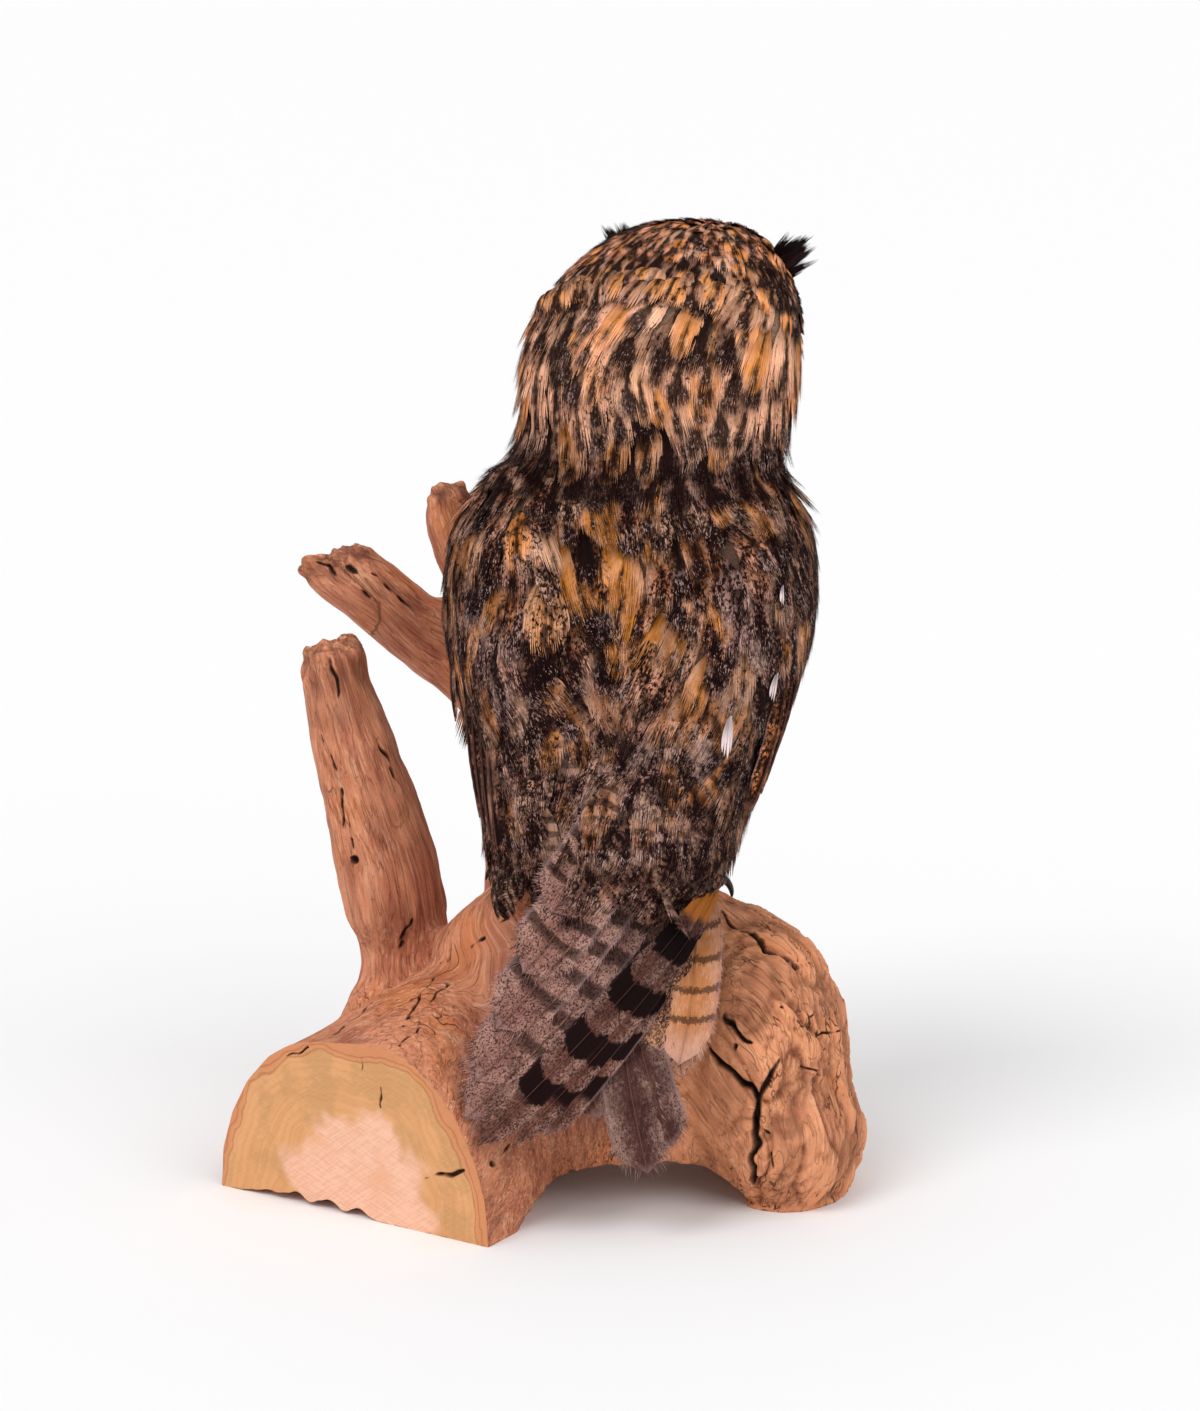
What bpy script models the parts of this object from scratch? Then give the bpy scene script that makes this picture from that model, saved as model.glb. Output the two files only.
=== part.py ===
"""A mounted eagle owl standing on a piece of driftwood: the still, life-size construction in solids.

Metres, +Z up. The origin is on the floor under the middle of the mount. The owl faces +Y, with its
back to -Y, and its head is turned towards +X. "Left" and "right" are the bird's own sides: its left is -X.
"""

import math
from bisect import bisect_right

import bmesh
import bpy
from mathutils import Matrix, Vector
from mathutils.bvhtree import BVHTree

# ---------------------------------------------------------------- driving dimensions
GAP = 0.0004  # clearance between touching pieces
WING_LIFT = 0.0018  # clearance of a wing's inner face over the faceted trunk
RING_SIDES = 30

# The trunk under the wings. One row per level: height, middle x, half width, back y, front y.
TRUNK = [
    (0.152, 0.038, 0.020, -0.088, -0.066),
    (0.158, 0.038, 0.032, -0.091, -0.058),
    (0.170, 0.039, 0.042, -0.090, -0.047),
    (0.182, 0.040, 0.049, -0.088, -0.034),
    (0.194, 0.041, 0.055, -0.086, -0.016),
    (0.206, 0.042, 0.060, -0.085, 0.022),
    (0.217, 0.043, 0.065, -0.084, 0.056),
    (0.234, 0.045, 0.071, -0.083, 0.084),
    (0.260, 0.048, 0.080, -0.079, 0.098),
    (0.290, 0.050, 0.090, -0.076, 0.106),
    (0.320, 0.051, 0.097, -0.073, 0.111),
    (0.350, 0.052, 0.097, -0.069, 0.113),
    (0.372, 0.053, 0.094, -0.065, 0.112),
    (0.390, 0.054, 0.090, -0.060, 0.109),
    (0.402, 0.055, 0.087, -0.056, 0.106),
    (0.420, 0.057, 0.082, -0.050, 0.101),
    (0.438, 0.063, 0.080, -0.044, 0.096),
]
NECK_BASE = 0.396
HEAD_BASE = 0.4373
# What the folded wings lie on: the trunk, then the tail below it.
CARRIER = [
    (0.020, 0.024, 0.100, -0.1580, -0.114),
    (0.045, 0.026, 0.098, -0.1530, -0.107),
    (0.070, 0.030, 0.094, -0.1445, -0.095),
    (0.110, 0.036, 0.086, -0.1300, -0.072),
    (0.155, 0.040, 0.073, -0.1135, -0.032),
    (0.190, 0.041, 0.065, -0.1005, 0.014),
    (0.215, 0.043, 0.0675, -0.0925, 0.0580),
    (0.238, 0.045, 0.0745, -0.0862, 0.0900),
] + [row for row in TRUNK if row[0] > 0.25]

HEAD_CENTRE = Vector((0.0670, 0.030, 0.0))
HEAD_TURN = math.radians(27)
# The head in its own frame, facing +y. Height, shift forward, half width, front, back.
HEAD = [
    (0.4373, -0.004, 0.081, 0.060, 0.068),
    (0.4500, -0.002, 0.0825, 0.062, 0.070),
    (0.4640, 0.000, 0.0835, 0.062, 0.071),
    (0.4800, 0.002, 0.0835, 0.061, 0.071),
    (0.4950, 0.005, 0.0820, 0.059, 0.070),
    (0.5090, 0.009, 0.0775, 0.056, 0.067),
    (0.5220, 0.014, 0.069, 0.051, 0.062),
    (0.5330, 0.019, 0.060, 0.044, 0.053),
    (0.5430, 0.023, 0.048, 0.035, 0.043),
    (0.5500, 0.025, 0.034, 0.025, 0.030),
    (0.5540, 0.025, 0.014, 0.011, 0.013),
]
HEAD_LEAN = 0.075  # how far the head leans to +x for each metre of height over its base
EYE_X, EYE_Y, EYE_Z, EYE_RADIUS = 0.0265, 0.0455, 0.4960, 0.0145
UPPER_BILL_BEND, LOWER_BILL_BEND = math.radians(84), math.radians(60)
EYE_OUTWARD = 0.30  # how far each eye turns to its side, as a slope

FOOT_PLACES = {"left": (0.008, 0.012), "right": (0.074, 0.012)}
ANKLE_HEIGHT = 0.198
# Each toe: direction from straight ahead towards the outer side in degrees, length, radius.
TOES = {
    "inner": (-26, 0.034, 0.0072),
    "middle": (4, 0.038, 0.0072),
    "outer": (72, 0.032, 0.0068),
    "hind": (190, 0.022, 0.0065),
}
FOOT_FACE_SHARE = 0.06
CLAW_LENGTH, CLAW_RADIUS = 0.021, 0.0033

WOOD_FACE_SHARE = 0.068  # share of the grown surface's faces that are kept
SAW_CUT_POINT = Vector((-0.1075, -0.0995, 0.0))
SAW_CUT_NORMAL = Vector((-0.584, -0.812, 0.0))

# The wood's limbs, each a tapered tube. One row per point: x, y, z, radius.
LIMBS = {
    "perch_ridge": [
        (-0.050, 0.012, 0.105, 0.034),
        (-0.015, 0.010, 0.128, 0.044),
        (0.035, 0.004, 0.130, 0.044),
        (0.085, 0.002, 0.128, 0.043),
        (0.122, -0.002, 0.122, 0.036),
    ],
    "left_branch": [
        (-0.0880, 0.046, 0.030, 0.0400),
        (-0.0840, 0.052, 0.085, 0.0335),
        (-0.0860, 0.055, 0.135, 0.0315),
        (-0.0940, 0.056, 0.170, 0.0310),
        (-0.1030, 0.056, 0.205, 0.0290),
        (-0.1120, 0.055, 0.238, 0.0255),
        (-0.1195, 0.053, 0.268, 0.0225),
        (-0.1240, 0.051, 0.292, 0.0205),
        (-0.1255, 0.050, 0.304, 0.0180),
    ],
    "trunk_limb": [
        (0.000, 0.050, 0.060, 0.0400),
        (-0.005, 0.086, 0.110, 0.0320),
        (-0.010, 0.112, 0.155, 0.0270),
        (-0.014, 0.128, 0.200, 0.0245),
        (-0.022, 0.134, 0.242, 0.0235),
        (-0.036, 0.131, 0.275, 0.0240),
        (-0.050, 0.124, 0.290, 0.0200),
    ],
    "upper_branch": [
        (-0.0300, 0.131, 0.262, 0.0245),
        (-0.0600, 0.120, 0.287, 0.0235),
        (-0.0880, 0.114, 0.309, 0.0215),
        (-0.1070, 0.111, 0.329, 0.0205),
        (-0.1160, 0.110, 0.342, 0.0170),
        (-0.1195, 0.110, 0.351, 0.0120),
    ],
    "broken_prong": [
        (-0.0980, 0.110, 0.3120, 0.0160),
        (-0.1220, 0.109, 0.3280, 0.0135),
        (-0.1370, 0.108, 0.3375, 0.0105),
        (-0.1465, 0.108, 0.3425, 0.0075),
    ],
    "short_branch": [
        (-0.0120, 0.134, 0.262, 0.0210),
        (-0.0310, 0.129, 0.303, 0.0180),
        (-0.0440, 0.123, 0.338, 0.0175),
        (-0.0540, 0.118, 0.364, 0.0175),
        (-0.0580, 0.115, 0.383, 0.0150),
        (-0.0590, 0.115, 0.390, 0.0100),
    ],
}
# The arch under the wood: y, half width and height of each of its openings along its length.
ARCH_X, ARCH_SINK = 0.056, 0.006
ARCH = [
    (-0.16, 0.076, 0.0320),
    (-0.09, 0.066, 0.0265),
    (-0.04, 0.062, 0.0270),
    (0.03, 0.058, 0.0340),
    (0.16, 0.072, 0.0440),
]

COLOURS = {
    "plumage": ((0.30, 0.17, 0.08), 0.85, 0.0),
    "flight_feathers": ((0.24, 0.15, 0.09), 0.75, 0.0),
    "ear_tufts": ((0.03, 0.025, 0.025), 0.9, 0.0),
    "horn": ((0.02, 0.019, 0.02), 0.3, 0.0),
    "glass_eye": ((0.75, 0.30, 0.03), 0.06, 0.0),
    "driftwood": ((0.52, 0.25, 0.13), 0.8, 0.0),
}

Z_AXIS = Vector((0, 0, 1))

# ---------------------------------------------------------------- scene and small helpers
for existing in list(bpy.data.objects):
    bpy.data.objects.remove(existing)


def collection(name):
    made = bpy.data.collections.new(name)
    bpy.context.scene.collection.children.link(made)
    return made


OWL_MOUNT = collection("owl_mount")
CUTTERS = collection("cutters")


def material(name):
    made = bpy.data.materials.get(name)
    if made is None:
        colour, roughness, metallic = COLOURS[name]
        made = bpy.data.materials.new(name)
        made.use_nodes = True
        shader = made.node_tree.nodes["Principled BSDF"]
        shader.inputs["Base Color"].default_value = (*colour, 1)
        shader.inputs["Roughness"].default_value = roughness
        shader.inputs["Metallic"].default_value = metallic
    return made


def node(name, bm, finish, into=OWL_MOUNT):
    """Turns a bmesh into an object, with its faces pointing out and smooth."""
    bmesh.ops.recalc_face_normals(bm, faces=bm.faces)
    mesh = bpy.data.meshes.new(name)
    bm.to_mesh(mesh)
    bm.free()
    mesh.shade_smooth()
    mesh.materials.append(material(finish))
    made = bpy.data.objects.new(name, mesh)
    into.objects.link(made)
    if into is CUTTERS:
        made.hide_render = True
        made.display_type = "WIRE"
    return made


def evaluated_mesh(obj):
    bpy.context.view_layer.update()
    found = obj.evaluated_get(bpy.context.evaluated_depsgraph_get())
    return bpy.data.meshes.new_from_object(found)


def boolean(obj, tool, operation="DIFFERENCE"):
    step = obj.modifiers.new(operation.lower() + "_" + tool.name, "BOOLEAN")
    step.object = tool
    step.operation = operation
    step.solver = "EXACT"


def carve(obj, *tools, gap=GAP):
    """Cuts room for each tool into obj, with a clearance all round it."""
    for tool in tools:
        mesh = evaluated_mesh(tool)
        normals = [v.normal.copy() for v in mesh.vertices]
        for v, normal in zip(mesh.vertices, normals):
            v.co += normal * gap
        grown = bpy.data.objects.new("room_for_" + tool.name, mesh)
        CUTTERS.objects.link(grown)
        grown.hide_render = True
        grown.display_type = "WIRE"
        boolean(obj, grown)


def freeze(obj):
    """Applies an object's modifiers to its mesh."""
    mesh = evaluated_mesh(obj)
    obj.modifiers.clear()
    obj.data = mesh


def smooth_step(t):
    t = min(1.0, max(0.0, t))
    return t * t * (3 - 2 * t)


def between(rows, height):
    """A table's values at a height, on a smooth curve through its rows."""
    keys = [row[0] for row in rows]
    i = min(max(bisect_right(keys, height), 1), len(rows) - 1)
    low, high = rows[i - 1], rows[i]
    before, after = rows[max(i - 2, 0)], rows[min(i + 1, len(rows) - 1)]
    span = high[0] - low[0]
    t = min(1.0, max(0.0, (height - low[0]) / span))
    values = []
    for c in range(1, len(low)):
        start = (high[c] - before[c]) / max(high[0] - before[0], 1e-6) * span
        end = (after[c] - low[c]) / max(after[0] - low[0], 1e-6) * span
        values.append(
            low[c] * (2 * t**3 - 3 * t**2 + 1)
            + start * (t**3 - 2 * t**2 + t)
            + high[c] * (3 * t**2 - 2 * t**3)
            + end * (t**3 - t**2)
        )
    return values


def rounded(angle, power=2.25):
    """A point on a slightly squared unit circle. Angle 0 is the back, and +90 degrees the +x side."""
    s, c = math.sin(angle), math.cos(angle)
    size = (abs(s) ** power + abs(c) ** power) ** (-1 / power)
    return s * size, -c * size


# ---------------------------------------------------------------- lofts and shells
def loft(name, rings, finish, into=OWL_MOUNT):
    """A closed body through rings of equal numbers of points, capped at both ends."""
    bm = bmesh.new()
    loops = [[bm.verts.new(p) for p in ring] for ring in rings]
    sides = len(rings[0])
    for below, above in zip(loops, loops[1:]):
        for i in range(sides):
            j = (i + 1) % sides
            bm.faces.new((below[i], below[j], above[j], above[i]))
    bm.faces.new(reversed(loops[0]))
    bm.faces.new(loops[-1])
    return node(name, bm, finish, into)


def tube_rings(points, radii, sides=12, flatten=1.0, up=Z_AXIS):
    """Rings of a tapered tube along a path, wider than high where flatten is under 1."""
    path = [Vector(p) for p in points]
    rings = []
    for i, (centre, radius) in enumerate(zip(path, radii)):
        along = (path[min(i + 1, len(path) - 1)] - path[max(i - 1, 0)]).normalized()
        across = along.cross(up)
        across = across.normalized() if across.length > 1e-4 else Vector((1, 0, 0))
        over = across.cross(along)
        turns = [2 * math.pi * k / sides for k in range(sides)]
        rings.append(
            [
                centre
                + across * radius * math.cos(t)
                + over * radius * flatten * math.sin(t)
                for t in turns
            ]
        )
    return rings


def shell(name, place, columns, rows, thickness, finish):
    """A closed curved plate: place(u, v, lift) gives its surface, and thickness(u, v) how thick it is."""
    bm = bmesh.new()
    bmesh.ops.create_grid(bm, x_segments=columns, y_segments=rows, size=0.5)
    inner = list(bm.verts)
    spots = [(v.co.x + 0.5, v.co.y + 0.5) for v in inner]
    made = bmesh.ops.extrude_face_region(bm, geom=list(bm.faces))["geom"]
    outer = [g for g in made if isinstance(g, bmesh.types.BMVert)]
    for v in outer:
        u, w = v.co.x + 0.5, v.co.y + 0.5
        v.co = place(u, w, thickness(u, w))
    for v, (u, w) in zip(inner, spots):
        v.co = place(u, w, 0.0)
    return node(name, bm, finish)


def on_carrier(height, angle, lift):
    """A point on what the wings lie on, at an angle from the middle of the back."""
    x, half, back, front = between(CARRIER, height)
    middle = back + 0.55 * (front - back)
    sx, sy = rounded(angle)
    depth = (middle - back) if sy < 0 else (front - middle)
    spot = Vector((x + half * sx, middle + depth * sy, height))
    outward = Vector((sx / half, sy / depth, 0)).normalized()
    return spot + outward * lift


# ---------------------------------------------------------------- head and neck
def in_head(x, y, z):
    """A point of the head's own frame in the world."""
    turned = Matrix.Rotation(-HEAD_TURN, 4, "Z") @ Vector((x, y, 0))
    return HEAD_CENTRE + turned + Vector((HEAD_LEAN * (z - HEAD_BASE), 0, z))


def head_ring(row, sides=RING_SIDES):
    height, shift, half, front, back = row
    points = []
    for i in range(sides):
        sx, sy = rounded(2 * math.pi * i / sides, 2.15)
        x = half * sx
        y = shift + (front if sy > 0 else back) * sy
        points.append(in_head(x, y + face_relief(x, y, height), height))
    return points


def face_relief(x, y, height):
    """The dished facial disc round each eye, and the ridge of bristles between the eyes."""
    if y < 0.01:
        return 0.0
    facing = smooth_step((y - 0.01) / 0.03)
    spread = math.hypot(abs(x) - 0.031, height - 0.488)
    dish = -0.0075 * math.exp(-((spread / 0.023) ** 2))
    level = smooth_step((height - 0.448) / 0.02) * smooth_step((0.535 - height) / 0.02)
    ridge = 0.0070 * math.exp(-((x / 0.011) ** 2)) * level
    return facing * (dish + ridge)


def make_head():
    return loft("head", [head_ring(row) for row in HEAD], "plumage")


def trunk_ring(height, sides=RING_SIDES):
    x, half, back, front = between(TRUNK, height)
    middle = back + 0.55 * (front - back)
    points = []
    for i in range(sides):
        sx, sy = rounded(2 * math.pi * i / sides)
        depth = (middle - back) if sy < 0 else (front - middle)
        points.append(Vector((x + half * sx, middle + depth * sy, height)))
    return points


def make_neck():
    """The neck turns from the trunk's outline below to the head's above."""
    top = HEAD_BASE - GAP
    levels = 5
    rings = []
    for k in range(levels):
        t = k / (levels - 1)
        height = NECK_BASE + (top - NECK_BASE) * t
        below = trunk_ring(height)
        above = head_ring((height, *HEAD[0][1:]))
        mix = smooth_step(t)
        rings.append([a.lerp(b, mix) for a, b in zip(below, above)])
    return loft("neck", rings, "plumage")


def make_eye(side, sign):
    bm = bmesh.new()
    bmesh.ops.create_uvsphere(bm, u_segments=14, v_segments=8, radius=EYE_RADIUS)
    outward = math.atan(EYE_OUTWARD) * sign
    lie_forward = Matrix.Rotation(-math.pi / 2, 4, "X")
    turn = Matrix.Rotation(-HEAD_TURN - outward, 4, "Z") @ lie_forward
    place = Matrix.Translation(in_head(sign * EYE_X, EYE_Y, EYE_Z))
    bmesh.ops.transform(bm, matrix=place @ turn, verts=bm.verts)
    return node("eye_" + side, bm, "glass_eye")


def bill_rings(base, bend, rows, sides=14):
    """Rings of a curved bill. Each row: share of the arc, half width, height above and below the line."""
    rings = []
    for share, half, above, below in rows:
        angle = bend * share
        reach, drop = base["reach"], base["drop"]
        y = base["y"] + reach * math.sin(angle) / math.sin(bend)
        z = base["z"] - drop * (1 - math.cos(angle)) / (1 - math.cos(bend))
        lean = angle * 0.9
        ring = []
        for i in range(sides):
            t = 2 * math.pi * i / sides
            x = half * math.cos(t)
            h = (above if math.sin(t) > 0 else below) * math.sin(t)
            ring.append(in_head(x, y + h * math.sin(lean), z + h * math.cos(lean)))
        rings.append(ring)
    return rings


def make_bill():
    upper_rows = [
        (0.0, 0.0080, 0.0080, 0.0060),
        (0.2, 0.0079, 0.0078, 0.0058),
        (0.4, 0.0070, 0.0070, 0.0052),
        (0.6, 0.0056, 0.0058, 0.0044),
        (0.8, 0.0038, 0.0042, 0.0034),
        (0.93, 0.0021, 0.0025, 0.0022),
        (1.0, 0.0008, 0.0010, 0.0010),
    ]
    upper_line = {"y": 0.052, "z": 0.4850, "reach": 0.0270, "drop": 0.0290}
    upper = loft("bill_upper", bill_rings(upper_line, UPPER_BILL_BEND, upper_rows), "horn")
    lower_rows = [
        (0.0, 0.0064, 0.0028, 0.0036),
        (0.5, 0.0056, 0.0026, 0.0032),
        (0.85, 0.0034, 0.0018, 0.0022),
        (1.0, 0.0014, 0.0008, 0.0010),
    ]
    lower_line = {"y": 0.050, "z": 0.4690, "reach": 0.0250, "drop": 0.0075}
    lower = loft("bill_lower", bill_rings(lower_line, LOWER_BILL_BEND, lower_rows), "horn")
    carve(lower, upper)
    return upper, lower


def make_ear_tuft(side, sign):
    """A short tuft of long feathers that starts over the eye and points out and up."""
    path = [
        (0.034, 0.034, 0.512),
        (0.044, 0.043, 0.523),
        (0.054, 0.049, 0.532),
        (0.062, 0.053, 0.538),
        (0.070, 0.056, 0.541),
    ]
    radii = [0.0070, 0.0105, 0.0125, 0.0115, 0.0050]
    points = [in_head(sign * x, y, z) for x, y, z in path]
    return loft("ear_tuft_" + side, tube_rings(points, radii, 9, 0.7), "ear_tufts")


# ---------------------------------------------------------------- trunk, wings and tail
def make_trunk():
    heights = [row[0] for row in TRUNK if row[0] < NECK_BASE - GAP]
    return loft("trunk", [trunk_ring(h) for h in [*heights, NECK_BASE - GAP]], "plumage")


# Each wing's edges over the trunk: height, angle of the inner edge, angle of the outer edge.
# Angles are in degrees from the middle of the back, on the wing's own side.
LEFT_WING = [
    (0.175, 57, 66),
    (0.187, 46, 77),
    (0.205, 38, 88),
    (0.240, 33, 102),
    (0.280, 27, 112),
    (0.330, 26, 114),
    (0.375, 31, 106),
    (0.400, 42, 96),
    (0.416, 56, 84),
]
RIGHT_WING = [
    (0.186, -28, 66),
    (0.205, -26, 84),
    (0.240, -14, 101),
    (0.280, 12, 112),
    (0.330, 26, 114),
    (0.375, 31, 106),
    (0.400, 42, 96),
    (0.416, 56, 84),
]


def wing_thickness(u, v):
    """Full in the middle and at the shoulder, thin along the edges and at the tip."""
    edge = min(1.0, 4 * min(u, 1 - u) + 0.25)
    ends = min(1.0, 5 * min(v + 0.06, 1 - v) + 0.3)
    return 0.0125 * math.sqrt(edge) * math.sqrt(ends) * (0.72 + 0.28 * v)


def make_wing(side, sign, edges):
    """The folded wing's shield, from the shoulder down to where its long quills begin."""
    low, high = edges[0][0], edges[-1][0]

    def place(u, v, lift):
        height = low + (high - low) * v
        inner, outer = between(edges, height)
        angle = math.radians(inner + (outer - inner) * u) * sign
        return on_carrier(height, angle, lift + WING_LIFT)

    return shell("wing_" + side, place, 9, 13, wing_thickness, "flight_feathers")


def behind_tail(x, z, lift):
    """A point on the back of the folded tail, from its x and its height."""
    middle_x, half, back, front = between(CARRIER, z)
    middle = back + 0.55 * (front - back)
    across = min(1.0, abs(x - middle_x) / half)
    depth = (middle - back) * (1 - across**2.25) ** (1 / 2.25)
    return Vector((x, middle - depth - lift, z))


def blade(name, edges, lift, thickness):
    """A flat fan of quills. Each edge row: height, left x, right x, from the tip up."""
    low, high = edges[0][0], edges[-1][0]

    def place(u, v, extra):
        height = low + (high - low) * v
        left, right = between(edges, height)
        return behind_tail(left + (right - left) * u, height, lift + extra)

    def thick(u, v):
        return thickness * (0.45 + 0.55 * math.sqrt(4 * u * (1 - u))) * (0.5 + 0.5 * smooth_step(3 * v))

    return shell(name, place, 6, 9, thick, "flight_feathers")


def make_tail():
    edges = [
        (0.0850, 0.030, 0.056),
        (0.0950, 0.012, 0.080),
        (0.1030, 0.004, 0.089),
        (0.1243, 0.000, 0.0998),
        (0.1452, -0.002, 0.1000),
        (0.1718, 0.000, 0.0932),
        (0.2050, 0.010, 0.0780),
    ]
    return blade("tail", edges, -0.0090, 0.0060)


def make_left_quills():
    """The left wing's long quills cross under the right wing's and show beside their tips."""
    edges = [
        (0.0400, 0.0575, 0.0665),
        (0.0460, 0.0545, 0.0722),
        (0.0600, 0.0450, 0.0755),
        (0.0764, 0.0365, 0.0786),
        (0.1000, 0.0200, 0.0700),
        (0.1300, -0.0040, 0.0580),
        (0.1600, -0.0180, 0.0300),
    ]
    return blade("wing_left_quills", edges, -0.0022, 0.0028)


def make_right_quills():
    """The right wing's long quills run down and across the tail to the left."""
    edges = [
        (0.0550, -0.0370, -0.0290),
        (0.0656, -0.0412, -0.0105),
        (0.0845, -0.0483, 0.0200),
        (0.1080, -0.0416, 0.0500),
        (0.1343, -0.0309, 0.0705),
        (0.1562, -0.0220, 0.0841),
        (0.1710, -0.0090, 0.0918),
        (0.1838, -0.0030, 0.0983),
    ]
    return blade("wing_right_quills", edges, 0.0024, 0.0052)


# ---------------------------------------------------------------- driftwood
def limb(name, points, radii, flatten=1.0):
    return loft(name, tube_rings(points, radii, 16, flatten), "driftwood", CUTTERS)


def lump(name, centre, sizes, turn=0.0):
    bm = bmesh.new()
    bmesh.ops.create_uvsphere(bm, u_segments=20, v_segments=12, radius=1.0)
    place = Matrix.Translation(centre) @ Matrix.Rotation(turn, 4, "Z") @ Matrix.Diagonal((*sizes, 1))
    bmesh.ops.transform(bm, matrix=place, verts=bm.verts)
    return node(name, bm, "driftwood", CUTTERS)


def wood_masses():
    into_log = -SAW_CUT_NORMAL
    masses = [
        lump("mound", (0.035, 0.000, 0.045), (0.125, 0.088, 0.118)),
        lump("mound_back", (0.000, 0.050, 0.030), (0.085, 0.060, 0.085)),
        lump("burl", (0.126, -0.022, 0.066), (0.056, 0.080, 0.088)),
        lump("burl_foot", (0.140, -0.040, 0.034), (0.049, 0.068, 0.052)),
        lump("burl_shoulder", (0.120, -0.006, 0.133), (0.024, 0.030, 0.025)),
        lump("left_root", (-0.108, 0.030, 0.030), (0.046, 0.058, 0.050)),
    ]
    # The sawn log: its outline on the saw cut is a half ellipse that stands on the floor.
    steps = [
        (-0.05, 0.100, 0.106),
        (0.0, 0.0985, 0.108),
        (0.05, 0.092, 0.116),
        (0.10, 0.080, 0.126),
        (0.15, 0.060, 0.125),
    ]
    sides = 28
    rings = []
    for along, half, height in steps:
        centre = SAW_CUT_POINT + into_log * along
        across = Vector((into_log.y, -into_log.x, 0))
        turns = [2 * math.pi * k / sides for k in range(sides)]
        rings.append([centre + across * half * math.cos(t) + Z_AXIS * height * math.sin(t) for t in turns])
    masses.append(loft("sawn_log", rings, "driftwood", CUTTERS))
    for name, path in LIMBS.items():
        masses.append(limb(name, [row[:3] for row in path], [row[3] for row in path]))
    return masses


def block(name, low, high):
    bm = bmesh.new()
    bmesh.ops.create_cube(bm, size=1)
    low, high = Vector(low), Vector(high)
    place = Matrix.Translation((low + high) / 2) @ Matrix.Diagonal((*(high - low), 1))
    bmesh.ops.transform(bm, matrix=place, verts=bm.verts)
    return node(name, bm, "driftwood", CUTTERS)


def make_driftwood():
    """One weathered root: every mass is grown together, then sawn off at one end and flat underneath."""
    bm = bmesh.new()
    for mass in wood_masses():
        bm.from_mesh(mass.data)
        bpy.data.objects.remove(mass)
    wood = node("driftwood", bm, "driftwood")
    grown = wood.modifiers.new("grown_together", "REMESH")
    grown.mode = "VOXEL"
    grown.voxel_size = 0.0045
    flow = wood.modifiers.new("flow", "SMOOTH")
    flow.factor = 0.5
    flow.iterations = 9
    freeze(wood)

    floor = block("below_floor", (-0.5, -0.5, -0.4), (0.5, 0.5, 0.0))
    across = Vector((-SAW_CUT_NORMAL.y, SAW_CUT_NORMAL.x, 0))
    saw = block("sawn_off", (-0.2, -0.3, -0.2), (0.2, 0.0, 0.3))
    turned = Matrix((across, -SAW_CUT_NORMAL, Vector((0, 0, 1)))).transposed().to_4x4()
    saw.data.transform(Matrix.Translation(SAW_CUT_POINT) @ turned)
    turns = [2 * math.pi * k / 20 for k in range(20)]
    arch_rings = []
    for y, half, height in ARCH:
        grown = height + ARCH_SINK
        arch_rings.append([Vector((ARCH_X + half * math.cos(t), y, grown * math.sin(t) - ARCH_SINK)) for t in turns])
    arch = loft("arch", arch_rings, "driftwood", CUTTERS)
    boolean(wood, saw)
    boolean(wood, arch)
    boolean(wood, floor)
    fewer = wood.modifiers.new("fewer_faces", "DECIMATE")
    fewer.ratio = WOOD_FACE_SHARE
    freeze(wood)
    for v in wood.data.vertices:
        if abs(v.co.z) < GAP:
            v.co.z = 0.0
    return wood


# ---------------------------------------------------------------- legs, toes and claws
def wood_height(tree, x, y):
    hit = tree.ray_cast(Vector((x, y, 0.24)), Vector((0, 0, -1)))
    return hit[0].z


def clear_of_wood(tree, spot, radius):
    """Moves a point away from the wood until a ball of this radius round it only just clears the surface."""
    touch, normal, _, _ = tree.find_nearest(spot)
    height = (spot - touch).dot(normal)
    return spot + normal * max(0.0, radius + GAP - height)


def toe_path(tree, foot, sign, toe):
    """Points along a toe that lies on the wood, from the ankle out, and its direction on the plan."""
    turn, length, radius = TOES[toe]
    angle = math.radians(turn)
    way = Vector((sign * math.sin(angle), math.cos(angle), 0))
    steps = 6
    points = []
    for k in range(steps):
        spot = Vector((*FOOT_PLACES[foot], 0)) + way * length * k / (steps - 1)
        spot.z = wood_height(tree, spot.x, spot.y) + radius
        points.append(clear_of_wood(tree, spot, radius * 1.12))
    return points, way


def claw_radius(share):
    return CLAW_RADIUS * (1 - share) ** 0.75 + 0.0004


def make_claw(tree, side, sign, toe):
    """A curved black claw that grows from its toe's tip and points down to the wood."""
    points, way = toe_path(tree, side, sign, toe)
    slope = (points[-1] - points[-2]).normalized()
    root = points[-1] - slope * 0.004 + Vector((0, 0, 0.0008))
    steps = 6
    path, spot = [root], root
    pitch = math.atan2(slope.z, math.hypot(slope.x, slope.y)) + math.radians(10)
    for k in range(steps):
        lean = pitch - math.radians(78) * (k / (steps - 1)) ** 1.1
        spot = spot + (way * math.cos(lean) + Vector((0, 0, math.sin(lean)))) * CLAW_LENGTH / steps
        spot = clear_of_wood(tree, spot, claw_radius((k + 1) / steps) * 1.2)
        path.append(spot)
    radii = [claw_radius(k / steps) for k in range(steps + 1)]
    return loft("claw_" + side + "_" + toe, tube_rings(path, radii, 7, 1.0), "horn")


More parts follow.
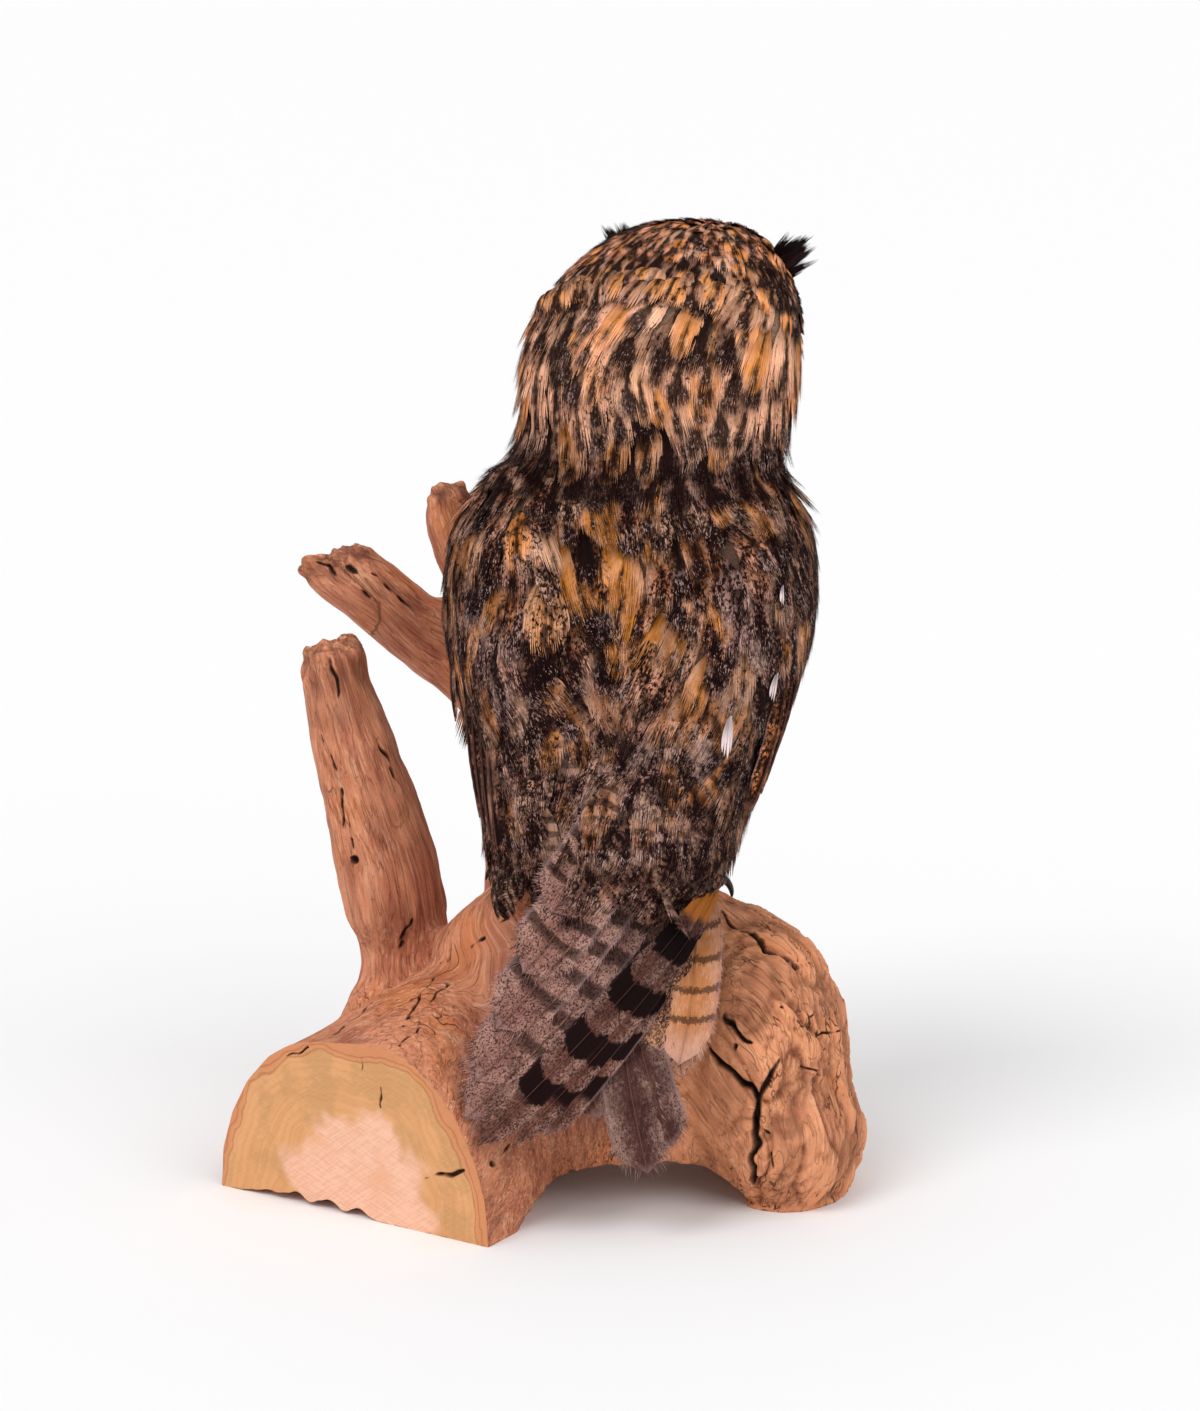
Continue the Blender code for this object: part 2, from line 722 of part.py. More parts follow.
def make_foot(tree, side, sign):
    bm = bmesh.new()
    masses = []
    for toe, (_, _, radius) in TOES.items():
        points, _ = toe_path(tree, side, sign, toe)
        radii = [radius * size for size in (1.1, 1.0, 1.02, 0.98, 0.95, 0.72)]
        masses.append(loft("toe", tube_rings(points, radii, 12, 0.95), "plumage", CUTTERS))
    x, y = FOOT_PLACES[side]
    ground = wood_height(tree, x, y)
    ankle = [(x, y - 0.002, z) for z in (ground + 0.005, ground + 0.012, ANKLE_HEIGHT - 0.002)]
    masses.append(limb("ankle", ankle, [0.0125, 0.0120, 0.0115]))
    for mass in masses:
        bm.from_mesh(mass.data)
        bpy.data.objects.remove(mass)
    foot = node("foot_" + side, bm, "plumage")
    grown = foot.modifiers.new("grown_together", "REMESH")
    grown.mode = "VOXEL"
    grown.voxel_size = 0.0019
    flow = foot.modifiers.new("flow", "SMOOTH")
    flow.iterations = 3
    fewer = foot.modifiers.new("fewer_faces", "DECIMATE")
    fewer.ratio = FOOT_FACE_SHARE
    freeze(foot)
    return foot


def make_leg(side):
    """The feathered thigh and shank, from inside the belly down to the foot."""
    x, y = FOOT_PLACES[side]
    centre = 0.042
    path = [
        (x, y - 0.002, ANKLE_HEIGHT - 0.0070),
        (x, y - 0.002, ANKLE_HEIGHT - 0.0010),
        (x, y - 0.001, ANKLE_HEIGHT + 0.009),
        (x + (centre - x) * 0.05, y + 0.002, ANKLE_HEIGHT + 0.022),
        (x + (centre - x) * 0.12, y + 0.003, ANKLE_HEIGHT + 0.040),
    ]
    radii = [0.0145, 0.0175, 0.0215, 0.0255, 0.0200]
    return loft("leg_" + side, tube_rings(path, radii, 12, 1.0, Vector((0, 1, 0))), "plumage")


# ---------------------------------------------------------------- assembly
def main():
    head = make_head()
    eyes = [make_eye("left", -1), make_eye("right", 1)]
    tufts = [make_ear_tuft("left", -1), make_ear_tuft("right", 1)]
    upper, lower = make_bill()
    carve(head, *eyes, *tufts, upper, lower)
    make_neck()
    trunk = make_trunk()
    make_wing("left", -1, LEFT_WING)
    make_wing("right", 1, RIGHT_WING)
    make_left_quills()
    make_right_quills()
    tail = make_tail()
    carve(trunk, tail)

    wood = make_driftwood()
    tree = BVHTree.FromObject(wood, bpy.context.evaluated_depsgraph_get())
    for side, sign in (("left", -1), ("right", 1)):
        foot = make_foot(tree, side, sign)
        claws = [make_claw(tree, side, sign, toe) for toe in TOES]
        leg = make_leg(side)
        carve(foot, *claws)
        carve(leg, foot)
        carve(trunk, leg)


main()
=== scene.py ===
"""A mounted eagle owl on driftwood: skin, feathers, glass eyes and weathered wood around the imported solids.

Metres, +Z up. The owl faces +Y with its back to -Y, and its head is turned towards +X.
"""

import itertools
import math

import bmesh
import bpy
import numpy as np
from mathutils import Matrix, Vector, noise
from mathutils.bvhtree import BVHTree
from mathutils.kdtree import KDTree


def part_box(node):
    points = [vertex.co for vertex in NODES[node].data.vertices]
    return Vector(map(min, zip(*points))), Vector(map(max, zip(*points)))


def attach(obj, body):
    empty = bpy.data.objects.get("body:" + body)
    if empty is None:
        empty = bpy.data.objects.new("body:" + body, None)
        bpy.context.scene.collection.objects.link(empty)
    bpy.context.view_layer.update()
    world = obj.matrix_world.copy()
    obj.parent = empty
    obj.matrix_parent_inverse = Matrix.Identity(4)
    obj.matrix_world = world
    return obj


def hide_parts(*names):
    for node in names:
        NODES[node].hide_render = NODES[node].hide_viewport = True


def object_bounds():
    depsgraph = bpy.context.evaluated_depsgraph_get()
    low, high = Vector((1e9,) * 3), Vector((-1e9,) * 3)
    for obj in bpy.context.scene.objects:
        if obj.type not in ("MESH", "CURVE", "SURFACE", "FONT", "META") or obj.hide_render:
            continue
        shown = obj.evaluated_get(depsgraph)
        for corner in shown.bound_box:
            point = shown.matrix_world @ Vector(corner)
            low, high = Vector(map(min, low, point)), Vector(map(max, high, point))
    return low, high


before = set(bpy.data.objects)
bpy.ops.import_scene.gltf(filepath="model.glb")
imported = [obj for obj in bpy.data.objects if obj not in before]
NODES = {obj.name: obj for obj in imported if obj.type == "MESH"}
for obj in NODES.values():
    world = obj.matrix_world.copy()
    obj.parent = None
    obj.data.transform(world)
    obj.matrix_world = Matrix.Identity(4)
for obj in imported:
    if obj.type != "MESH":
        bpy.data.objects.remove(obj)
CAD_LOW, CAD_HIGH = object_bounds()
RNG = np.random.default_rng(20)
HEIGHT = CAD_HIGH.z
SIDES = ("left", "right")


# ---------------------------------------------------------------- materials as expressions
class Wire:
    """A value on its way through a material. Sums and products of wires add Math nodes."""

    def __init__(self, finish, socket):
        self.finish = finish
        self.socket = socket

    def math(self, operation, *others):
        return self.finish.add("ShaderNodeMath", {"operation": operation}, (self, *others))

    def __add__(self, other):
        return self.math("ADD", other)

    def __sub__(self, other):
        return self.math("SUBTRACT", other)

    def __rsub__(self, other):
        return self.finish.add("ShaderNodeMath", {"operation": "SUBTRACT"}, (other, self))

    def __mul__(self, other):
        return self.math("MULTIPLY", other)

    __radd__ = __add__
    __rmul__ = __mul__

    def step(self, low, high):
        """0 below low, 1 above high, and a soft slope between."""
        settings = {"interpolation_type": "SMOOTHSTEP"}
        return self.finish.add("ShaderNodeMapRange", settings, (self, low, high, 0.0, 1.0))


class Finish:
    """A procedural material around one Principled shader."""

    def __init__(self, name, **constants):
        self.material = bpy.data.materials.new(name)
        self.material.use_nodes = True
        self.tree = self.material.node_tree
        self.shader = self.tree.nodes["Principled BSDF"]
        for socket, value in constants.items():
            self.shader.inputs[socket.replace("_", " ")].default_value = value

    def add(self, kind, settings=None, inputs=(), output=0):
        node = self.tree.nodes.new(kind)
        for key, value in (settings or {}).items():
            setattr(node, key, value)
        for key, value in inputs.items() if isinstance(inputs, dict) else enumerate(inputs):
            self.feed(node.inputs[key], value)
        return Wire(self, node.outputs[output])

    def feed(self, socket, value):
        if isinstance(value, Wire):
            self.tree.links.new(value.socket, socket)
        else:
            socket.default_value = value

    def mix(self, factor, first, second, how="MIX"):
        settings = {"data_type": "RGBA", "blend_type": how}
        return self.add("ShaderNodeMix", settings, {0: factor, 6: first, 7: second}, 2)

    def noise(self, where, scale, detail=2.0, roughness=0.5, twist=0.0):
        values = {"Vector": where, "Scale": scale, "Detail": detail, "Roughness": roughness}
        return self.add("ShaderNodeTexNoise", None, {**values, "Distortion": twist})

    def place(self):
        return self.add("ShaderNodeTexCoord", None, {}, "Object")

    def attribute(self, name, output="Color"):
        return self.add("ShaderNodeAttribute", {"attribute_name": name}, {}, output)

    def split(self, vector):
        """The three numbers of a vector."""
        first = self.add("ShaderNodeSeparateXYZ", None, (vector,))
        return [Wire(self, socket) for socket in first.socket.node.outputs]

    def vector(self, x, y, z):
        return self.add("ShaderNodeCombineXYZ", None, (x, y, z))

    def scaled(self, vector, x, y, z):
        return self.add("ShaderNodeVectorMath", {"operation": "MULTIPLY"}, (vector, (x, y, z)))

    def bump(self, height, strength, distance):
        values = {"Strength": strength, "Distance": distance, "Height": height}
        return self.add("ShaderNodeBump", None, values)

    def paint(self, **links):
        """Links what varies over the surface to the shader's sockets."""
        for socket, value in links.items():
            self.feed(self.shader.inputs[socket.replace("_", " ")], value)
        return self.material


def colour(red, green, blue):
    """A linear colour from display values of 0 to 255."""
    values = [c / 255 for c in (red, green, blue)]
    return (*[c / 12.92 if c <= 0.04045 else ((c + 0.055) / 1.055) ** 2.4 for c in values], 1.0)


# ---------------------------------------------------------------- meshes
def shown(name, mesh, material=None, replaces=()):
    """Adds a finished piece that rides with the part."""
    obj = bpy.data.objects.new(name, mesh)
    bpy.context.scene.collection.objects.link(obj)
    if material:
        mesh.materials.clear()
        mesh.materials.append(material)
    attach(obj, "root")
    if replaces:
        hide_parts(*replaces)
    return obj


def mesh_of(bm, name="shape"):
    mesh = bpy.data.meshes.new(name)
    bm.to_mesh(mesh)
    bm.free()
    return mesh


def modified(mesh, *steps):
    """The mesh after a row of modifiers, each a (kind, settings) pair."""
    obj = bpy.data.objects.new("workpiece", mesh)
    bpy.context.scene.collection.objects.link(obj)
    for kind, settings in steps:
        step = obj.modifiers.new(kind.lower(), kind)
        for key, value in settings.items():
            setattr(step, key, value)
    bpy.context.view_layer.update()
    evaluated = obj.evaluated_get(bpy.context.evaluated_depsgraph_get())
    made = bpy.data.meshes.new_from_object(evaluated)
    bpy.data.objects.remove(obj)
    return made


def renetted(mesh, size, rounds):
    """The mesh as one even closed net of the given size, smoothed in rounds."""
    remesh = ("REMESH", {"mode": "VOXEL", "voxel_size": size})
    return modified(mesh, remesh, ("SMOOTH", {"factor": 0.5, "iterations": rounds}))


def cad_copy(*names):
    """A bmesh of copies of CAD nodes, with their loose triangles joined up."""
    bm = bmesh.new()
    for name in names:
        bm.from_mesh(NODES[name].data)
    bmesh.ops.remove_doubles(bm, verts=bm.verts, dist=0.00001)
    bmesh.ops.recalc_face_normals(bm, faces=bm.faces)
    bm.normal_update()
    return bm


def points_of(mesh):
    flat = np.empty(len(mesh.vertices) * 3)
    mesh.vertices.foreach_get("co", flat)
    return flat.reshape(-1, 3)


def normals_of(mesh):
    flat = np.empty(len(mesh.vertices) * 3)
    mesh.vertex_normals.foreach_get("vector", flat)
    return flat.reshape(-1, 3)


def move_points(mesh, points):
    mesh.vertices.foreach_set("co", np.asarray(points, float).ravel())
    mesh.update()


def set_attribute(mesh, name, kind, values):
    field = {"FLOAT_COLOR": "color", "FLOAT_VECTOR": "vector", "FLOAT": "value"}[kind]
    made = mesh.attributes.new(name, kind, "POINT")
    made.data.foreach_set(field, np.asarray(values, np.float32).ravel())


def smooth_step(values, low, high):
    t = np.clip((np.asarray(values, float) - low) / (high - low), 0, 1)
    return t * t * (3 - 2 * t)


def fade_out(values, low, high):
    return 1 - smooth_step(values, low, high)


def unit(vectors):
    return vectors / np.maximum(np.linalg.norm(vectors, axis=-1, keepdims=True), 1e-9)


def cloud(points, size, seed=0.0):
    """Soft noise from -1 to 1 at each point, with patches of about the given size."""
    shift = Vector((seed, seed * 0.7, -seed))
    return np.array([noise.noise(Vector(p) / size + shift) for p in points])


# ---------------------------------------------------------------- where things are on the owl
HEAD_LOW, HEAD_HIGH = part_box("head")
TRUNK_LOW, TRUNK_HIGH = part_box("trunk")
HEAD_TURN = math.radians(27)
HEAD_PLACE = Vector(((HEAD_LOW.x + HEAD_HIGH.x) / 2, 0.030, 0.0))
EYES = {side: sum(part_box("eye_" + side), Vector()) / 2 for side in SIDES}
EYE_RADIUS = (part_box("eye_left")[1].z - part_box("eye_left")[0].z) / 2
FACING = np.array([math.sin(HEAD_TURN), math.cos(HEAD_TURN), 0.0])
ACROSS = np.array([math.cos(HEAD_TURN), -math.sin(HEAD_TURN), 0.0])
TRUNK_AXIS = np.array([(TRUNK_LOW.x + TRUNK_HIGH.x) / 2, 0.018, 0.0])


def in_head(points):
    """World points in the head's own frame: x across, y forward, z up."""
    away = np.asarray(points, float) - np.array(HEAD_PLACE)
    return np.stack([away @ ACROSS, away @ FACING, away[..., 2]], axis=-1)


def out_of_head(vectors):
    """Directions in the head's own frame, given in the world's."""
    return vectors[:, :1] * ACROSS + vectors[:, 1:2] * FACING + vectors[:, 2:] * np.array([0, 0, 1.0])


# ---------------------------------------------------------------- skin
def shifted(mesh, amounts):
    """Moves a mesh's points along its normals."""
    move_points(mesh, points_of(mesh) + normals_of(mesh) * np.asarray(amounts)[..., None])
    return mesh


def plug(bm_all, name, inwards, share):
    """Fills the socket that a node leaves in the head with the inner share of that node."""
    bm = cad_copy(name)
    reach = [v.co.dot(inwards) for v in bm.verts]
    cut = max(reach) - (max(reach) - min(reach)) * share
    geometry = [*bm.verts, *bm.edges, *bm.faces]
    plane = {"plane_co": inwards * cut, "plane_no": -inwards}
    made = bmesh.ops.bisect_plane(bm, geom=geometry, clear_outer=True, **plane)
    edges = [g for g in made["geom_cut"] if isinstance(g, bmesh.types.BMEdge)]
    bmesh.ops.holes_fill(bm, edges=edges)
    bmesh.ops.recalc_face_normals(bm, faces=bm.faces)
    mesh = mesh_of(bm)
    bm_all.from_mesh(shifted(mesh, 0.0012 * np.ones(len(mesh.vertices))))


def coat_depth(points):
    """How far the skin lies inside the plumage's outline: least on the face, most on the belly."""
    head = in_head(points)
    face = smooth_step(head[:, 1], 0.02, 0.05) * smooth_step(points[:, 2], 0.445, 0.46)
    crown = smooth_step(points[:, 2], 0.44, 0.50)
    body = 0.0036 + 0.0030 * smooth_step(points[:, 1], 0.0, 0.08)
    return (body * (1 - crown) + 0.0034 * crown) * (1 - face) + 0.0026 * face


def make_skin_mesh():
    inflate = 0.001
    body = bmesh.new()
    for name in ("head", "neck", "trunk"):
        mesh = mesh_of(cad_copy(name))
        body.from_mesh(shifted(mesh, inflate * np.ones(len(mesh.vertices))))
    centre = Vector((*HEAD_PLACE[:2], EYES["left"].z))
    for side in SIDES:
        plug(body, "eye_" + side, (centre - EYES[side]).normalized(), 0.62)
        tuft = sum(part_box("ear_tuft_" + side), Vector()) / 2
        plug(body, "ear_tuft_" + side, (centre - tuft).normalized(), 0.40)
    backward = Vector((-FACING[0], -FACING[1], 0))
    plug(body, "bill_upper", backward, 0.5)
    plug(body, "bill_lower", backward, 0.6)
    plug(body, "tail", Vector((0, 0, 1)), 0.25)
    core = renetted(mesh_of(body), 0.003, 8)
    shifted(core, -(coat_depth(points_of(core)) + inflate))

    limbs = bmesh.new()
    for side in SIDES:
        for name in ("leg_", "foot_"):
            mesh = mesh_of(cad_copy(name + side))
            depth = 0.0022 if name == "leg_" else 0.0009
            limbs.from_mesh(shifted(mesh, (inflate - depth) * np.ones(len(mesh.vertices))))
        pad = mesh_of(cad_copy("wing_" + side))
        spots = points_of(pad)
        outward = spots - TRUNK_AXIS
        outward[:, 2] = 0
        inward = 0.0036 + 0.0072 * smooth_step(spots[:, 2], 0.375, 0.412)
        move_points(pad, spots - unit(outward) * inward[:, None])
        limbs.from_mesh(pad)
    limbs.from_mesh(core)
    skin = renetted(mesh_of(limbs), 0.0024, 5)
    skin.name = "skin"
    return skin


SKIN = make_skin_mesh()
SKIN_POINTS = points_of(SKIN)


def bvh_of(mesh):
    bm = bmesh.new()
    bm.from_mesh(mesh)
    tree = BVHTree.FromBMesh(bm)
    bm.free()
    return tree


SKIN_TREE = bvh_of(SKIN)


# ---------------------------------------------------------------- what grows where
LOOK = ["length", "width", "gap", "lift", "red", "green", "blue"]
LOOK += ["streak", "speckle", "fleck", "tone", "patch"]


def look(length, width, gap, lift, ground, streak, speckle, fleck, tone, patch=0.0):
    """One region's feathers: sizes in mm, the ground colour, and how strong each marking is."""
    return np.array([length, width, gap, lift, *colour(*ground)[:3], streak, speckle, fleck, tone, patch])


CROWN = look(24, 11, 6.2, 3.0, (218, 150, 106), 0.50, 0.46, 0.12, 1.02, 0.9)
NAPE = look(45, 20, 11.6, 8.0, (240, 188, 154), 0.50, 0.52, 0.22, 1.22, 0.85)
# painted shadow: a dark line where the crown's feathers end over the nape's
FOLD_SHADOW = look(24, 11, 6.2, 2.4, (70, 40, 30), 0.9, 0.2, 0.0, 0.5)
# the dark band under the nape's ruff: dark feathers, darkened further by painted shade under the ruff's
# overhang
NECK = look(36, 17, 9.5, 9.0, (150, 94, 76), 0.62, 0.80, 0.06, 0.38, 0.5)
MANTLE = look(48, 21, 10.8, 6.6, (206, 138, 96), 0.34, 0.90, 0.35, 0.72, 1.0)
BACK = look(50, 21, 11.2, 5.0, (198, 152, 136), 0.14, 1.00, 0.35, 0.60, 0.6)
RUMP = look(46, 21, 10.8, 4.6, (184, 138, 124), 0.06, 0.90, 0.30, 0.48, 0.2)
WING = look(44, 19, 10.2, 4.4, (196, 138, 114), 0.24, 1.00, 0.35, 0.64, 0.8)
WING_EDGE = look(46, 16, 9.8, 3.8, (196, 128, 84), 0.55, 0.70, 0.20, 0.52, 0.6)
BREAST = look(38, 15, 9.0, 4.8, (224, 168, 116), 0.34, 0.22, 0.25, 1.0, 0.3)
BELLY = look(42, 16, 9.5, 5.0, (228, 186, 144), 0.10, 0.42, 0.30, 1.05, 0.2)
THROAT = look(17, 7.5, 4.4, 3.4, (238, 228, 218), 0.04, 0.10, 0.0, 1.08)
LEG = look(12, 5.5, 3.6, 1.9, (224, 184, 144), 0.04, 0.30, 0.0, 1.0)
WING_TIP = look(15, 6.0, 4.5, 1.2, (150, 106, 86), 0.3, 0.9, 0.0, 0.6)
TOES = look(6.5, 3.0, 2.5, 0.8, (222, 182, 144), 0.0, 0.20, 0.0, 0.95)
DISC = look(13, 4.2, 2.9, 2.2, (206, 172, 146), 0.10, 0.55, 0.0, 0.92)
DISC_RIM = look(12, 4.8, 3.0, 2.8, (62, 38, 30), 0.85, 0.2, 0.0, 0.5)
EYEBROW = look(14, 4.0, 2.7, 3.4, (226, 214, 204), 0.12, 0.30, 0.0, 1.05)
BRISTLE = look(13, 2.8, 2.3, 3.2, (214, 202, 194), 0.0, 0.20, 0.0, 1.0)


def around(points):
    """Degrees round the trunk from the middle of the back, positive to the right."""
    away = points - TRUNK_AXIS
    return np.degrees(np.arctan2(away[:, 0], -away[:, 1]))


def beside_eye(points):
    """For points on the face: sideways and upward distance from the nearer eye, and the full distance."""
    head = in_head(points)
    eye = in_head(np.array([EYES["left"], EYES["right"]]))
    nearer = (np.abs(head[:, :1] - eye[:, 0][None]).argmin(axis=1))
    offset = head - eye[nearer]
    return offset, np.hypot(offset[:, 0], offset[:, 2])


def coat_plan(points, labels):
    """The look of the coat at each point, as rows in the order of LOOK."""
    height, turn = points[:, 2], around(points)
    front = smooth_step(np.abs(turn), 95, 125)
    head = in_head(points)
    is_wing = belongs(labels, "wing").astype(float)
    is_leg = belongs(labels, "leg").astype(float)
    is_foot = belongs(labels, "foot").astype(float)
    plan = np.tile(MANTLE, (len(points), 1))

    def blend(mask, other):
        nonlocal plan
        plan = plan * (1 - mask[:, None]) + other * mask[:, None]

    blend(fade_out(height, 0.27, 0.33), BACK)
    blend(fade_out(height, 0.20, 0.25), RUMP)
    blend(front, BREAST)
    blend(front * fade_out(height, 0.29, 0.36), BELLY)
    blend(is_wing * smooth_step(0.0 - np.abs(height - 0.30), -0.13, -0.05) * 0.8, WING)
    blend(is_wing * smooth_step(np.abs(turn), 62, 88), WING_EDGE)
    plan[:, LOOK.index("tone")] *= 1 - 0.22 * smooth_step(turn, 15, 50) * (1 - front)
    on_head = smooth_step(height, 0.418, 0.434)
    blend(on_head, NAPE)
    plan[:, LOOK.index("tone")] *= 1 - 0.18 * on_head * (1 - front) * fade_out(height, 0.440, 0.470)
    blend(is_wing * fade_out(height, 0.198, 0.222), WING_TIP)
    # the neck band: dark feathers and painted shade under the ruff
    neck_band = smooth_step(height, 0.396, 0.406) * fade_out(height, 0.424, 0.436) * (1 - front)
    blend(neck_band, NECK)
    chin = front * smooth_step(-np.abs(head[:, 0]), -0.055, -0.030)
    blend(chin * smooth_step(height, 0.418, 0.430) * fade_out(height, 0.444, 0.456), THROAT)
    blend(smooth_step(height + 0.35 * head[:, 1] * (height > 0.5), 0.506, 0.528), CROWN)
    # painted shadow: the dark line along the fold between crown and nape
    fold = 0.529 - 0.011 * ((points[:, 0] - 0.064) / 0.055) ** 2
    blend(smooth_step(-np.abs(height - fold - 0.002), -0.006, -0.002) * (points[:, 1] < 0.03) * 0.65, FOLD_SHADOW)
    offset, distance = beside_eye(points)
    is_face = smooth_step(head[:, 1], 0.012, 0.022) * smooth_step(height, 0.44, 0.45)
    is_face *= fade_out(height + 0.25 * np.abs(head[:, 0]), 0.528, 0.534)
    blend(is_face * fade_out(distance, 0.040, 0.044), DISC)
    blend(is_face * smooth_step(distance, 0.036, 0.040) * fade_out(distance, 0.044, 0.048), DISC_RIM)
    inner = is_face * smooth_step(-np.abs(head[:, 0]), -0.022, -0.012) * smooth_step(height, 0.485, 0.50)
    blend(inner, EYEBROW)
    over_eye = smooth_step(offset[:, 2], 0.010, 0.016) * fade_out(np.abs(offset[:, 0]), 0.020, 0.030)
    blend(is_face * over_eye * 0.8, EYEBROW)
    beside_bill = smooth_step(-np.abs(head[:, 0]), -0.016, -0.008) * smooth_step(head[:, 1], 0.040, 0.050)
    blend(is_face * beside_bill * fade_out(height, 0.486, 0.496), BRISTLE)
    blend(is_leg, LEG)
    blend(is_foot, TOES)
    return plan


def lie(points, normals, labels):
    """The way the feathers point at each place on the skin."""
    height, turn = points[:, 2], around(points)
    head = in_head(points)
    count = len(points)
    down = np.tile([0.0, -0.22, -1.0], (count, 1))
    front = smooth_step(np.abs(turn), 80, 120)
    down[:, 1] += 0.22 * front
    under = front * fade_out(height, 0.17, 0.215)
    down += under[:, None] * np.array([0, -1.6, 0.3])
    sweep = unit(np.array([-0.045, -0.13, 0.03]) - points)
    share = fade_out(height, 0.22, 0.36) * smooth_step(turn, -25, 10) * (1 - front)
    down = down * (1 - share[:, None]) + sweep * share[:, None]
    sweep = unit(np.array([-0.010, -0.12, 0.12]) - points)
    share = fade_out(height, 0.20, 0.30) * fade_out(turn, -35, -20) * (1 - front)
    down = down * (1 - share[:, None]) + sweep * share[:, None]
    brow = np.array([0.0, 0.062, 0.508])
    away = head - brow
    back = unit(away)
    back[:, 2] -= 0.25 + 2.2 * fade_out(height, 0.455, 0.525)
    world_out = out_of_head(unit(back))
    on_head = smooth_step(height, 0.425, 0.46)[:, None]
    down = down * (1 - on_head) + world_out * on_head
    offset, distance = beside_eye(points)
    is_face = smooth_step(head[:, 1], 0.008, 0.020) * smooth_step(height, 0.44, 0.456)
    is_face *= fade_out(distance, 0.038, 0.048)
    ray = offset[:, :1] * ACROSS + offset[:, 2:] * np.array([0, 0, 1.0])
    ray = unit(ray) + np.array([0, 0, -0.15])
    down = down * (1 - is_face[:, None]) + ray * is_face[:, None]
    foot = belongs(labels, "foot")
    for side in SIDES:
        low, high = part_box("foot_" + side)
        middle = np.array([(low.x + high.x) / 2, (low.y + high.y) / 2 - 0.004, high.z])
        mine = foot & (labels == "foot_" + side)
        down[mine] = points[mine] - middle
    down -= (down * normals).sum(axis=1)[:, None] * normals
    down = unit(down)
    swirl = 1.1 * cloud(points, 0.040, 17.0) * (1 - 0.15 * smooth_step(height, 0.395, 0.43)) * (1 - front)
    return unit(down + np.cross(normals, down) * swirl[:, None])


# ---------------------------------------------------------------- coat
FLESH = ["head", "neck", "trunk"]
FLESH += [part + side for part in ("wing_", "leg_", "foot_") for side in SIDES]


def label_places(points):
    """The name of the flesh node nearest to each point."""
    trees = {name: BVHTree.FromBMesh(cad_copy(name)) for name in FLESH}
    gaps = [[trees[name].find_nearest(Vector(p))[3] for p in points] for name in FLESH]
    return np.array(FLESH)[np.argmin(np.array(gaps), axis=0)]


def belongs(labels, kind):
    """Which places lie on a node of a kind, such as either wing."""
    return np.char.startswith(labels, kind)


def nearest_skin(points):
    found = [SKIN_TREE.find_nearest(Vector(p)) for p in points]
    return np.array([f[0] for f in found]), np.array([f[1] for f in found])


def scatter_roots(count):
    """Roots over the whole skin, each as far from the next as its region's gap."""
    SKIN.calc_loop_triangles()
    corners = np.empty(len(SKIN.loop_triangles) * 3, np.int32)
    SKIN.loop_triangles.foreach_get("vertices", corners)
    a, b, c = (SKIN_POINTS[corners.reshape(-1, 3)[:, k]] for k in range(3))
    area = np.linalg.norm(np.cross(b - a, c - a), axis=1)
    chosen = RNG.choice(len(area), count, p=area / area.sum())
    u, v = RNG.random((2, count, 1))
    flip = u + v > 1
    u, v = np.where(flip, 1 - u, u), np.where(flip, 1 - v, v)
    spots = a[chosen] + (b - a)[chosen] * u + (c - a)[chosen] * v
    spots, normals = nearest_skin(spots)
    labels = label_places(spots)
    plan = coat_plan(spots, labels)
    gaps = plan[:, LOOK.index("gap")] / 1000
    bare = belongs(labels, "wing") & (normals[:, 2] < -0.30) & (spots[:, 2] < 0.24)
    tree = KDTree(count)
    for index, spot in enumerate(spots):
        tree.insert(spot, index)
    tree.balance()
    taken = bare
    kept = []
    for index in range(count):
        if not taken[index]:
            kept.append(index)
            for _, other, _ in tree.find_range(spots[index], gaps[index]):
                taken[other] = True
    return spots[kept], normals[kept], labels[kept], plan[kept]


def fan_pattern(blades, stations, seed):
    """A feather drawn flat as a fan of narrow overlapping barbs, in units of its half width and length.

    Gives the place across, the place along, the lift of each corner, and the faces."""
    rng = np.random.default_rng(seed)
    across, along, lift, faces = [], [], [], []
    for blade in rng.permutation(blades):
        middle = (blade + 0.5) / blades * 2 - 1 + rng.normal(0, 0.12 / blades)
        end = 1 - 0.26 * abs(middle) ** 2.2 - rng.random() * 0.045
        start = 0.10 * abs(middle)
        half = 1.35 / blades * (0.8 + 0.4 * rng.random())
        raised = rng.normal(0, 0.05)
        first = len(across)
        for station in range(stations):
            t = station / (stations - 1)
            spread = 0.30 + 0.70 * math.sin(min(t * 1.25, 1) * math.pi / 2)
            centre = middle * spread
            thick = half * (0.55 + 0.45 * math.sin(math.pi * min(t + 0.15, 1)))
            here = start + (end - start) * t
            if station == stations - 1:
                across.append(centre + rng.normal(0, 0.05))
                along.append(here)
                lift.append(raised)
            else:
                across += [centre - thick, centre + thick]
                along += [here, here]
                lift += [raised, raised]
        for station in range(stations - 2):
            k = first + station * 2
            faces.append((k, k + 1, k + 3, k + 2))
        k = first + (stations - 2) * 2
        faces.append((k, k + 1, k + 2, k + 2))
    return np.array(across), np.array(along), np.array(lift), np.array(faces)


